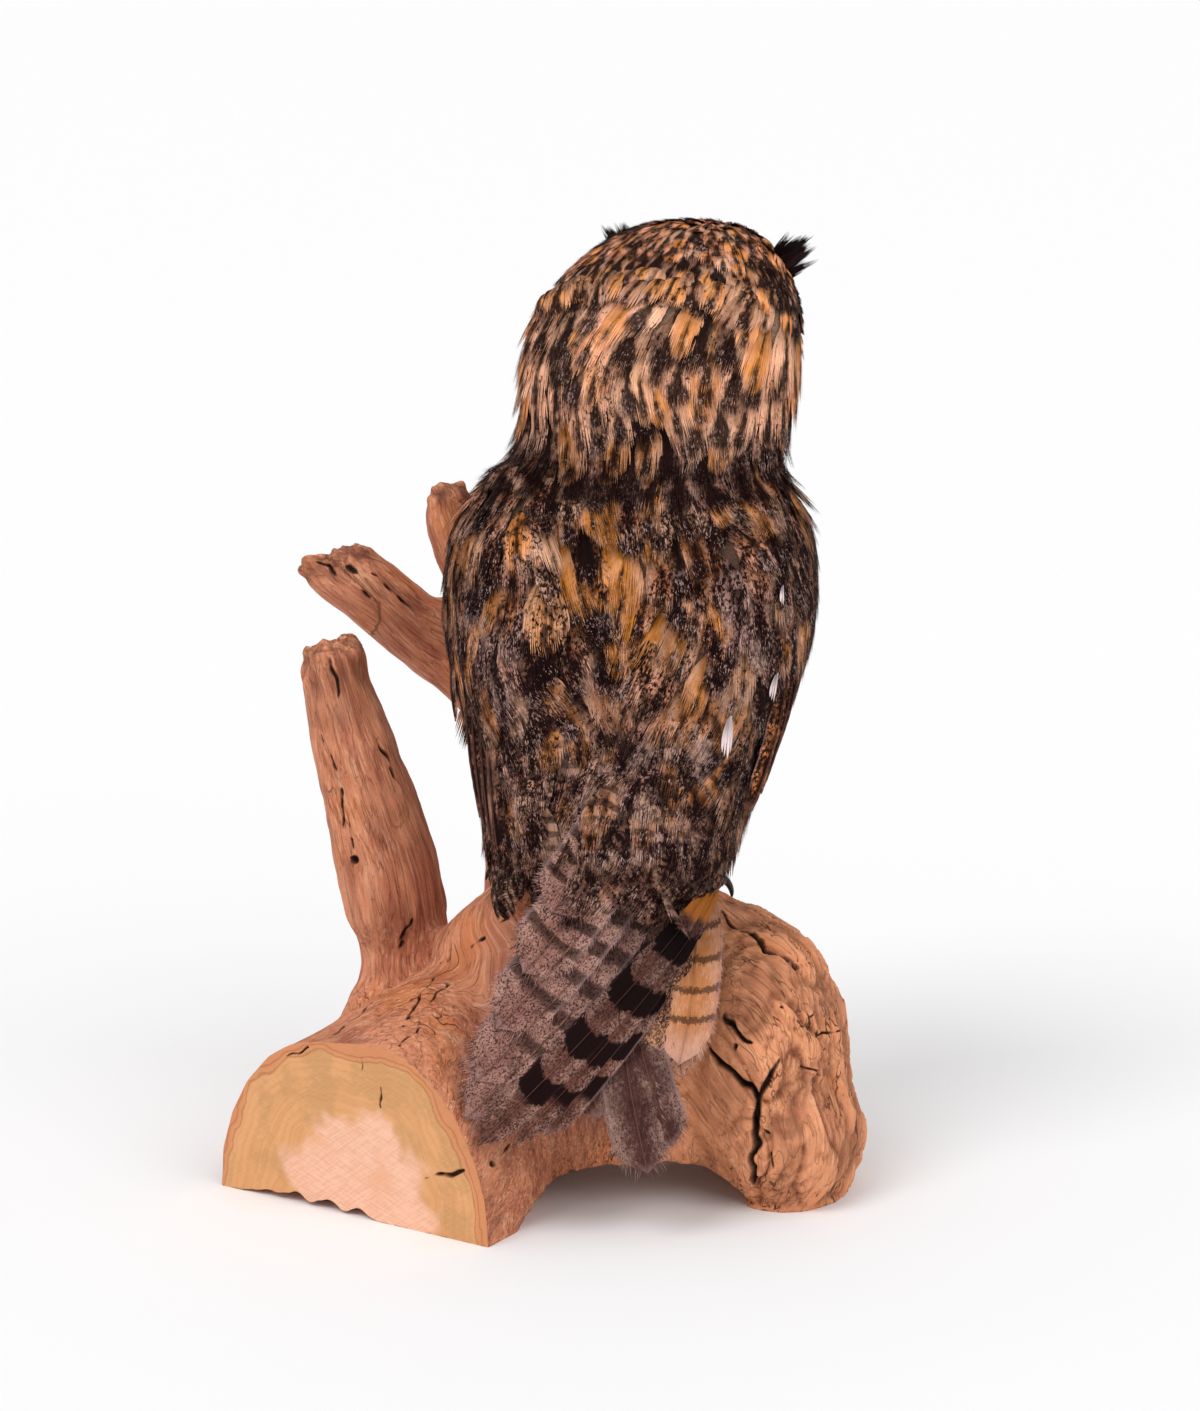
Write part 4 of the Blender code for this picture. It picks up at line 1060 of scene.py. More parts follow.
def strewn(plumage, pattern, roots, tips, width, arch, root_lift, ground, marks, bars):
    """Single large feathers laid over the coat from root to tip, arched by a height in metres."""
    roots, tips = np.array(roots, float) / 1000, np.array(tips, float) / 1000
    share = np.linspace(0, 1, 7)[None, :, None]
    straight = roots[:, None] + (tips - roots)[:, None] * share
    near, up = nearest_skin(straight.reshape(-1, 3))
    near, up = near.reshape(straight.shape), unit(up.reshape(straight.shape))
    rise = root_lift * (1 - share) + 0.0056 * np.sqrt(share) + arch * np.sin(math.pi * share ** 0.7)
    lines = near + up * rise
    length = np.linalg.norm(tips - roots, axis=1)
    across, along, raised, _ = pattern
    over = unit(along_lines(up, along))
    half = (width / 2)[:, None] * across[None]
    drop = np.abs(half) * np.abs(across[None]) * 0.30 - (width / 2)[:, None] * raised[None] * 0.5
    points = bent(lines, over, along, half, -drop)
    plumage.add(pattern, points, width, length, ground, marks, bars, unwrap(roots), 0.006)


def make_large_feathers(finish):
    """Ruffled feathers at the fold where the crown meets the nape, and the odd big one on the back."""
    large = Plumage()
    fold = np.array([(8, 24, 515), (18, 15, 521), (30, 8, 525), (44, 2, 528), (58, -5, 528), (72, -11, 527),
                     (86, -14, 525), (99, -15, 524), (111, -14, 521), (121, -13, 516)], float)
    count = 30
    along_fold = np.linspace(0, len(fold) - 1.001, count) + RNG.normal(0, 0.06, count)
    places = along_lines(fold[None] / 1000, along_fold / (len(fold) - 1))[0]
    roots, ups = nearest_skin(places + RNG.normal(0, 0.0028, (count, 3)))
    headings = lie(roots, ups, np.full(count, "head"))
    tips = roots + headings * (0.015 + 0.019 * RNG.random((count, 1)))
    tone = 0.60 + 0.6 * RNG.random((count, 1))
    widths = 0.010 + 0.010 * RNG.random(count)
    shades = np.where(RNG.random((count, 1)) < 0.4, colour(226, 160, 92), colour(206, 156, 120)) * tone
    shades[:, 3] = 1.0
    marks = np.tile([0.0, 0.4, 0.4, 1.0], (count, 1))
    marks[:, 0] = 0.20 + 0.55 * RNG.random(count)
    for variant in range(3):
        mine = np.arange(count) % 3 == variant
        strewn(large, fan_pattern(12, 6, 950 + variant), roots[mine] * 1000, tips[mine] * 1000,
               widths[mine], 0.0024, 0.0046, shades[mine], marks[mine], np.zeros((mine.sum(), 4)))
    pale, ochre = colour(214, 158, 108), colour(226, 150, 76)
    umber, ash = colour(120, 76, 54), colour(190, 132, 90)
    single = [((3, -60, 366), (4, -72, 318), 28, pale, (0.15, 0.7, 0.2), 1.0),
              ((105, -36, 416), (96, -54, 374), 25, umber, (0.8, 1.0, 0.3), 0.0),
              ((122, -34, 406), (124, -49, 380), 14, ochre, (0.30, 0.6, 0.4), 0.0),
              ((64, -68, 338), (43, -76, 290), 28, ash, (0.2, 1.0, 0.3), 0.0),
              ((-12, -36, 400), (-10, -58, 360), 18, ochre, (0.3, 0.7, 0.2), 0.0),
              ((34, -60, 378), (36, -68, 348), 16, ochre, (0.30, 0.7, 0.4), 0.0),
              ((92, -57, 380), (84, -69, 322), 24, ash, (0.3, 1.0, 0.3), 0.0)]
    for index, (root, tip, width, shade, strengths, shaft) in enumerate(single):
        strewn(large, fan_pattern(26, 7, 970 + index), [root], [tip], np.array([width / 1000]), 0.001, 0.0,
               np.array([shade]), np.array([[*strengths, 1.0]]), np.array([[shaft * 0.9, 0.0, 0.0, 0.0]]))
    shown("large_feathers", large.mesh("large"), finish)


def make_loose_feathers(finish):
    """White tips on the right wing and the wisps of belly down beside it."""
    loose = Plumage()
    white = np.array([(0.132, -0.051, 0.308), (0.107, -0.073, 0.287), (0.136, -0.048, 0.357)])
    near, up = nearest_skin(white)
    down = np.array([-0.12, 0.0, -1.0])
    heading = unit(down - (down * up).sum(axis=1)[:, None] * up)
    length, width = np.array([0.018, 0.026, 0.012]), np.array([0.0055, 0.0065, 0.0035])
    pattern = fan_pattern(5, 6, 900)
    count = len(white)
    shades = (np.tile(colour(244, 240, 246), (count, 1)), np.zeros((count, 4)), np.zeros((count, 4)))
    lines = straight_lines(near + up * 0.0064, heading, length)
    add_free(loose, pattern, lines, up, width, length, *shades, unwrap(white), 0.005)
    count = 16
    place = RNG.random((count, 1))
    roots = np.array([0.112, 0.020, 0.262]) * (1 - place) + np.array([0.098, 0.030, 0.210]) * place
    roots, up = nearest_skin(roots + RNG.normal(0, 0.006, (count, 3)))
    heading = unit(up * 0.30 + np.array([0.16, -0.15, -1.0]) + RNG.normal(0, 0.16, (count, 3)))
    length = 0.024 + 0.014 * RNG.random(count)
    pattern = fan_pattern(7, 6, 901)
    marks = np.tile([0.0, 0.12, 0.3, 1], (count, 1))
    shades = (np.tile(colour(222, 168, 124), (count, 1)), marks, np.zeros((count, 4)))
    lines = straight_lines(roots, heading, length, sag=0.004)
    add_free(loose, pattern, lines, up, np.full(count, 0.0032), length, *shades, unwrap(roots), 0.005)
    shown("loose_feathers", loose.mesh("loose"), finish)


# ---------------------------------------------------------------- eyes, bill and claws
def horn_finish():
    f = Finish("dark_horn", Roughness=0.28, Coat_Weight=0.15)
    f.shader.inputs["Specular IOR Level"].default_value = 0.3
    place = f.place()
    growth = f.noise(f.scaled(place, 260.0, 260.0, 90.0), 1.0, 3.0)
    fine = f.noise(place, 1400.0, 2.0)
    paint = f.mix(growth.step(0.35, 0.65), colour(26, 22, 22), colour(60, 52, 48))
    ridges = f.bump(growth + fine * 0.4, 0.3, 0.0006)
    return f.paint(Base_Color=paint, Roughness=0.24 + fine * 0.22, Normal=ridges)


def glass_eye_finish():
    f = Finish("glass_eye", Roughness=0.05, Coat_Weight=0.35)
    f.shader.inputs["Specular IOR Level"].default_value = 0.25
    f.shader.inputs["Coat Roughness"].default_value = 0.02
    gaze = f.attribute("gaze", "Vector")
    x, y, away = f.split(gaze)
    turn = y.math("ARCTAN2", x)
    rays = f.noise(f.vector(turn * 5.5, away * 1.2, 0.0), 1.0, 4.0, 0.6)
    iris = f.mix(rays.step(0.35, 0.68), colour(206, 92, 14), colour(252, 168, 40))
    iris = f.mix(away.step(0.66, 0.84) * 0.8, iris, colour(120, 44, 10))
    iris = f.mix(1.0 - away.step(0.44, 0.56), iris, colour(250, 176, 52))
    paint = f.mix(1.0 - away.step(0.425, 0.455), iris, colour(3, 2, 2))
    paint = f.mix(away.step(0.83, 0.87), paint, colour(16, 10, 9))
    return f.paint(Base_Color=paint)


def lid_finish():
    f = Finish("eyelid_skin", Roughness=0.55)
    creases = f.noise(f.place(), 1500.0, 3.0)
    paint = f.mix(creases.step(0.4, 0.65), colour(34, 26, 26), colour(62, 50, 48))
    return f.paint(Base_Color=paint, Normal=f.bump(creases, 0.5, 0.0004))


def subdivided(bm, name, levels):
    return modified(mesh_of(bm, name), ("SUBSURF", {"levels": levels, "render_levels": levels}))


def ringed(sections):
    """A closed tube skinned over rows of rings, each a (matrix, radius) pair."""
    bm = bmesh.new()
    rings = []
    for matrix, radius in sections:
        made = bmesh.ops.create_circle(bm, segments=10, radius=radius, matrix=matrix)
        rings.append([e for e in bm.edges if e.verts[0] in set(made["verts"])])
    for first, second in zip(rings, rings[1:] + rings[:1]):
        bmesh.ops.bridge_loops(bm, edges=first + second)
    bmesh.ops.recalc_face_normals(bm, faces=bm.faces)
    return bm


def make_eyes():
    glass, skin = glass_eye_finish(), lid_finish()
    for side, sign in (("left", -1), ("right", 1)):
        gaze = Vector(FACING + ACROSS * 0.30 * sign + np.array([0, 0, -0.02])).normalized()
        turn = gaze.to_track_quat("Z", "Y").to_matrix().to_4x4()
        place = Matrix.Translation(EYES[side]) @ turn
        bm = bmesh.new()
        bmesh.ops.create_uvsphere(bm, u_segments=48, v_segments=32, radius=EYE_RADIUS * 1.01)
        mesh = mesh_of(bm, "eye")
        local = points_of(mesh)
        away = np.hypot(local[:, 0], local[:, 1]) / EYE_RADIUS
        away = np.where(local[:, 2] > 0, away, 2.0)
        bulge = np.maximum(0, 1 - (away / 0.72) ** 2) * 0.0011
        local[:, 2] += np.where(local[:, 2] > 0, bulge, 0)
        set_attribute(mesh, "gaze", "FLOAT_VECTOR", np.stack([local[:, 0], local[:, 1], away], axis=1))
        move_points(mesh, local)
        mesh.transform(place)
        mesh.shade_smooth()
        shown("glass_eye_" + side, mesh, glass, ["eye_" + side])
        sections = []
        count = 40
        for step in range(count):
            angle = 2 * math.pi * step / count
            top = max(0.0, math.sin(angle)) ** 0.8
            tilt = math.radians(60 - 24 * top - 4 * math.cos(angle) * sign)
            spot = Vector((math.cos(angle) * math.sin(tilt), math.sin(angle) * math.sin(tilt),
                           math.cos(tilt)))
            tangent = Vector((-math.sin(angle), math.cos(angle), 0))
            centre = place @ (spot * (EYE_RADIUS + 0.0003))
            facing = (turn.to_3x3() @ tangent).to_track_quat("Z", "Y").to_matrix().to_4x4()
            thickness = 0.0014 + 0.0016 * top
            sections.append((Matrix.Translation(centre) @ facing, thickness))
        lid = subdivided(ringed(sections), "lid", 1)
        lid.shade_smooth()
        shown("eyelids_" + side, lid, skin)


def make_horn_parts():
    horn = horn_finish()
    names = ["bill_upper", "bill_lower"]
    toes = ("inner", "middle", "outer", "hind")
    names += [f"claw_{side}_{toe}" for side in SIDES for toe in toes]
    for name in names:
        mesh = subdivided(cad_copy(name), name, 2 if name.startswith("bill") else 1)
        mesh.shade_smooth()
        shown(name + "_horn", mesh, horn, [name])


make_skin()
coat_finish = make_coat()
make_large_feathers(coat_finish)
quill_finish = make_quills()
make_wing_edges()
make_ear_tufts()
make_loose_feathers(quill_finish)
make_eyes()
make_horn_parts()


# ---------------------------------------------------------------- driftwood
SAW_POINT = np.array([-0.1075, -0.0995, 0.0])
SAW_NORMAL = unit(np.array([-0.584, -0.812, 0.0]))
SAW_ACROSS = np.array([-SAW_NORMAL[1], SAW_NORMAL[0], 0.0])
LOG_SPINE = [
    (-0.120, -0.117, 0.045), (-0.070, -0.058, 0.088), (-0.025, -0.020, 0.128), (0.040, -0.010, 0.118),
    (0.095, -0.020, 0.088), (0.130, -0.045, 0.060), (0.135, -0.060, 0.000),
]
BRANCH_SPINES = [
    [(-0.088, 0.040, 0.020), (-0.086, 0.055, 0.135), (-0.103, 0.056, 0.205), (-0.1255, 0.050, 0.304)],
    [(0.000, 0.050, 0.060), (-0.012, 0.120, 0.180), (-0.030, 0.131, 0.262), (-0.088, 0.114, 0.309),
     (-0.1195, 0.110, 0.351)],
    [(-0.107, 0.111, 0.318), (-0.130, 0.108, 0.334), (-0.1465, 0.108, 0.3425)],
    [(-0.012, 0.134, 0.262), (-0.044, 0.123, 0.338), (-0.059, 0.115, 0.390)],
]
BROKEN_ENDS = [
    ((-0.1255, 0.050, 0.304), 0.020), ((-0.1195, 0.110, 0.351), 0.016),
    ((-0.1465, 0.108, 0.3425), 0.010), ((-0.059, 0.115, 0.390), 0.014),
]
# each crack: half width and depth in mm, then the places it passes, in mm
CRACKS = [
    (2.3, 9.0, [(96, -82, 96), (101, -89, 89), (114, -97, 81), (125, -101, 70), (124, -100, 51),
                (123, -102, 30), (121, -96, 16)]),
    (1.7, 6.0, [(125, -101, 70), (130, -98, 85), (136, -95, 92)]),
    (1.5, 6.0, [(103, -78, 114), (109, -85, 110), (120, -93, 101)]),
    (1.8, 6.0, [(104, -17, 160), (116, -30, 152), (130, -54, 145), (141, -56, 141), (151, -56, 134)]),
    (0.8, 3.5, [(135, -81, 120), (150, -82, 109), (158, -70, 113)]),
    (0.8, 3.5, [(157, -71, 112), (159, -76, 100), (170, -58, 98)]),
    (0.7, 2.5, [(143, -92, 94), (154, -88, 84), (163, -79, 76)]),
    (0.6, 2.5, [(169, -76, 64), (173, -80, 54)]),
    (0.9, 3.5, [(165, -93, 49), (173, -87, 28), (173, -74, 7)]),
    (0.8, 2.5, [(129, -101, 55), (132, -105, 41), (132, -104, 25)]),
    (2.0, 6.0, [(110, -91, 99), (112, -92, 97)]),
    (1.2, 5.0, [(-64, -131, 32), (-42, -147, 42), (-23, -134, 41), (-17, -119, 48)]),
    (0.7, 3.0, [(-101, -104, 90), (-101, -104, 100)]),
    (0.8, 3.5, [(-79, -120, 86), (-79, -106, 105), (-66, -83, 110)]),
    (1.0, 3.5, [(-19, -23, 155), (-40, -22, 137), (-50, -31, 124), (-64, -58, 116)]),
    (0.9, 3.0, [(-59, -14, 127), (-69, -50, 118), (-80, -90, 110)]),
    (1.0, 3.0, [(-97, -39, 111), (-116, -69, 107), (-133, -81, 99), (-144, -73, 89)]),
    (0.9, 3.0, [(-76, 28, 153), (-77, 27, 139), (-87, 29, 123)]),
    (3.0, 5.0, [(-113, 31, 178), (-109, 30, 174)]),
    (0.7, 2.0, [(-90, -112, 83), (-90, -112, 68)]),
    (1.0, 3.0, [(-131, 36, 253), (-118, 31, 223), (-116, 32, 192), (-110, 29, 181)]),
    (1.1, 3.0, [(-125, 34, 302), (-120, 31, 272)]),
    (1.2, 3.0, [(-98, 37, 248), (-84, 40, 220)]),
    (1.4, 4.0, [(-135, 102, 344), (-103, 92, 324)]),
    (1.0, 3.0, [(-102, 94, 337), (-86, 96, 323), (-73, 97, 306)]),
    (2.6, 3.5, [(-118, 95, 342), (-112, 94, 338)]),
    (1.1, 3.0, [(60, -38, 118), (88, -52, 112), (104, -70, 104)]),
    (1.2, 3.5, [(150, 20, 130), (168, -10, 118), (176, -30, 96)]),
    (1.3, 4.0, [(120, 50, 96), (150, 34, 70), (168, 20, 40)]),
    (1.0, 3.0, [(20, 70, 118), (60, 66, 104), (98, 52, 98)]),
]


def gap_to_path(points, path):
    """Each point's distance from a path, how far along the path it is, and the offset from it."""
    path = np.array(path, float)
    best = np.full(len(points), 1e9)
    reach = np.zeros(len(points))
    offset = np.zeros((len(points), 3))
    walked = 0.0
    for start, end in zip(path[:-1], path[1:]):
        run = end - start
        length = np.linalg.norm(run)
        share = np.clip((points - start) @ run / length ** 2, 0, 1)
        away = points - (start + share[:, None] * run)
        gap = np.linalg.norm(away, axis=1)
        nearer = gap < best
        best[nearer] = gap[nearer]
        reach[nearer] = walked + share[nearer] * length
        offset[nearer] = away[nearer]
        walked += length
    return best, reach, offset


def grain_places(points, spines):
    """Coordinates with the grain, in metres: along the nearest spine and the offset from it."""
    places, gaps = [], []
    for spine in spines:
        total, weights, nearest, walked = 0.0, 0.0, np.full(len(points), 1e9), 0.0
        for start, end in zip(spine[:-1], spine[1:]):
            run = np.array(end) - np.array(start)
            length = np.linalg.norm(run)
            ahead = (points - start) @ run / length
            offset = points - start - ahead[:, None] * run / length
            beyond = ahead - np.clip(ahead, 0, length)
            gap = np.hypot(np.linalg.norm(offset, axis=1), beyond)
            nearest = np.minimum(nearest, gap)
            weight = np.exp(-gap / 0.020)[:, None] + 1e-12
            across = (offset[:, 0] + offset[:, 1] * 0.6, offset[:, 2] - offset[:, 1] * 0.8)
            total += np.stack([walked + ahead, *across], axis=1) * weight
            weights += weight
            walked += length
        places.append(total / weights)
        gaps.append(nearest)
    gaps = np.array(gaps)
    chosen = gaps.argmin(axis=0)
    return np.array(places)[chosen, np.arange(len(points))] + chosen[:, None] * 0.37, gaps.min(axis=0)


def stretched_cloud(places, along, across, seed):
    """Noise drawn out along the grain."""
    stretched = places / np.array([along, across, across]) + seed
    return np.array([noise.noise(Vector(p)) for p in stretched])


def refine_near_cracks(mesh):
    bm = bmesh.new()
    bm.from_mesh(mesh)
    for reach in (0.0040, 0.0022):
        points = np.array([v.co for v in bm.verts])
        near = np.zeros(len(points), bool)
        for half, _, path in CRACKS:
            near |= gap_to_path(points, np.array(path) / 1000)[0] < reach + half / 1000
        bm.verts.ensure_lookup_table()
        edges = [e for e in bm.edges if near[e.verts[0].index] and near[e.verts[1].index]]
        bmesh.ops.subdivide_edges(bm, edges=edges, cuts=1, use_grid_fill=True)
        bm.verts.index_update()
    bmesh.ops.triangulate(bm, faces=[f for f in bm.faces if len(f.verts) > 4])
    return mesh_of(bm, "driftwood")


def wood_blank():
    """The driftwood's outline as an even net, with its saw cut and its flat underside kept sharp."""
    bm = cad_copy("driftwood")
    mesh = mesh_of(bm)
    points = points_of(mesh)
    beyond = (points - SAW_POINT) @ SAW_NORMAL
    points += SAW_NORMAL * (smooth_step(beyond, -0.0012, -0.0004) * 0.008)[:, None]
    points[:, 2] -= smooth_step(-points[:, 2], -0.0008, -0.0002) * 0.008
    move_points(mesh, points)
    mesh = renetted(mesh, 0.0020, 6)
    points = points_of(mesh)
    beyond = (points - SAW_POINT) @ SAW_NORMAL
    points -= SAW_NORMAL * np.maximum(beyond, 0)[:, None]
    points[:, 2] = np.maximum(points[:, 2], 0)
    move_points(mesh, points)
    return refine_near_cracks(mesh)


def near_broken_ends(points):
    """How close each place is to a branch's broken end."""
    broken = np.zeros(len(points))
    for end, radius in BROKEN_ENDS:
        gap = np.linalg.norm(points - np.array(end), axis=1)
        broken = np.maximum(broken, fade_out(gap, radius, radius * 2.0))
    return broken


def open_cracks(points, press, burl):
    """How much painted shade darkens each place in a crack, and how deep it is cracked. Raises press along
    the burl's cracks.
    """
    crack = np.zeros(len(points))
    cut = np.zeros(len(points))
    wander = np.stack([cloud(points, 0.010, seed) for seed in (2.0, 6.0, 11.0)], axis=1) * 0.0030
    for half, depth, path in CRACKS:
        gap, reach, _ = gap_to_path(points + wander, np.array(path) / 1000)
        length = np.linalg.norm(np.diff(np.array(path), axis=0), axis=1).sum() / 1000
        taper = 0.35 + 0.65 * np.sin(np.clip(reach / length, 0, 1) * math.pi) ** 0.5
        open_half = half / 1000 * taper
        inside = fade_out(gap, open_half * 0.35, open_half * 1.25)
        cut = np.maximum(cut, inside * depth / 1000 * taper)
        crack = np.maximum(crack, fade_out(gap, open_half * 0.7, open_half * 1.6))
        press += np.exp(-(gap / (half / 1000 * 3.2)) ** 2) * 0.0006 * burl
    return crack, cut


def shape_saw_face(points, moved):
    """Moves the saw cut's foot to a ragged lip, and flattens the log's top towards the cut."""
    across = (points - SAW_POINT) @ SAW_ACROSS
    ragged = smooth_step(-np.abs(across + 0.030), -0.062, -0.020)
    ragged *= 0.5 + cloud(np.stack([across, across * 0, across * 0], axis=1), 0.012) * 0.6
    beyond = (points - SAW_POINT) @ SAW_NORMAL
    lip = smooth_step(beyond, -0.030, -0.002) * fade_out(points[:, 2], 0.0, 0.014)
    moved[:, 2] += np.maximum(ragged, 0) * lip * 0.0095
    flattened = np.exp(-((across + 0.012) / 0.040) ** 2) * smooth_step(beyond, -0.08, 0.0)
    moved[:, 2] -= flattened * 0.0075 * (points[:, 2] / 0.11) ** 3
    moved[:, 2] = np.maximum(moved[:, 2], 0)


def saw_face_rings(points):
    """How far out each place lies in the year rings, and how far it belongs to the pink heartwood."""
    across = (points - SAW_POINT) @ SAW_ACROSS
    half_width = np.abs(across + 0.004) / 0.0985
    ring = np.sqrt(half_width ** 2 + (points[:, 2] / 0.108) ** 2)
    ring += cloud(points, 0.03, 4.0) * 0.07 + cloud(points, 0.010, 4.0) * 0.02
    heart = 1 - np.hypot((across - 0.006) / 0.050, points[:, 2] / 0.062)
    heart = heart + cloud(points, 0.022, 8.0) * 0.34 + cloud(points, 0.007, 8.0) * 0.12
    return ring, smooth_step(heart, -0.16, 0.10)


def weather(mesh):
    """Presses grain, lobes, cracks and broken ends into the blank, and notes what the finish needs."""
    points, normals = points_of(mesh), normals_of(mesh)
    log, log_gap = grain_places(points, [LOG_SPINE])
    branch, branch_gap = grain_places(points, BRANCH_SPINES)
    on_branch = smooth_step(log_gap - 2.2 * branch_gap + 0.03, -0.02, 0.02)
    on_branch = on_branch * smooth_step(-branch_gap, -0.052, -0.036)
    sawn = smooth_step((points - SAW_POINT) @ SAW_NORMAL, -0.0012, -0.0004)
    under = fade_out(points[:, 2], 0.0005, 0.004)
    burl = smooth_step(points[:, 0], 0.085, 0.135) * (1 - sawn)

    def grain(along, across, seed):
        first, second = (stretched_cloud(places, along, across, seed) for places in (log, branch))
        return first * (1 - on_branch) + second * on_branch

    coarse, fine = grain(0.075, 0.0085, 1.0), grain(0.050, 0.0034, 5.0)
    ridges = np.maximum(1 - np.abs(grain(0.110, 0.0150, 21.0)) * 7, 0)
    press = (coarse * 0.0012 + fine * 0.00060 - ridges * 0.0011 * (1 - burl)) * (1 - 0.45 * on_branch)
    lobes = grain(0.045, 0.019, 9.0)
    folds = 1 - np.abs(lobes) * 2.6
    small_folds = np.maximum(1 - np.abs(grain(0.022, 0.0085, 31.0)) * 4.5, 0)
    press += burl * (lobes * 0.0046 - np.maximum(folds, 0) ** 4 * 0.0036 - small_folds ** 2 * 0.0018)
    bumps = grain(0.016, 0.0060, 41.0) * 0.0006 * (0.6 + on_branch)
    press += (1 - burl) * cloud(points, 0.040) * 0.0022 + bumps
    pits = cloud(points, 0.0075)
    press -= burl * smooth_step(pits, 0.18, 0.5) * 0.0016
    broken = near_broken_ends(points)
    splinters = grain(0.030, 0.0050, 14.0)
    press += broken * (splinters * 0.0050 - 0.0012)
    crack, cut = open_cracks(points, press, burl)
    free = 1 - np.maximum(sawn, under)
    press = press * free - cut * (1 - under)
    press += sawn * stretched_cloud(points, 0.02, 0.004, 3.0) * 0.00012
    moved = points + normals * press[:, None]
    shape_saw_face(points, moved)
    move_points(mesh, moved)
    # hollow: how deep each place is pressed in; the finish paints shade into the hollows from it
    hollow = np.clip(-(press + cut) / 0.0032, 0, 1) * free
    ring, pink = saw_face_rings(points)
    set_attribute(mesh, "grain_log", "FLOAT_VECTOR", log)
    set_attribute(mesh, "grain_branch", "FLOAT_VECTOR", branch)
    set_attribute(mesh, "wear_and_shade", "FLOAT_COLOR", np.stack([on_branch, hollow, crack, burl], axis=1))
    set_attribute(mesh, "cut", "FLOAT_COLOR", np.stack([sawn, ring, pink, broken], axis=1))


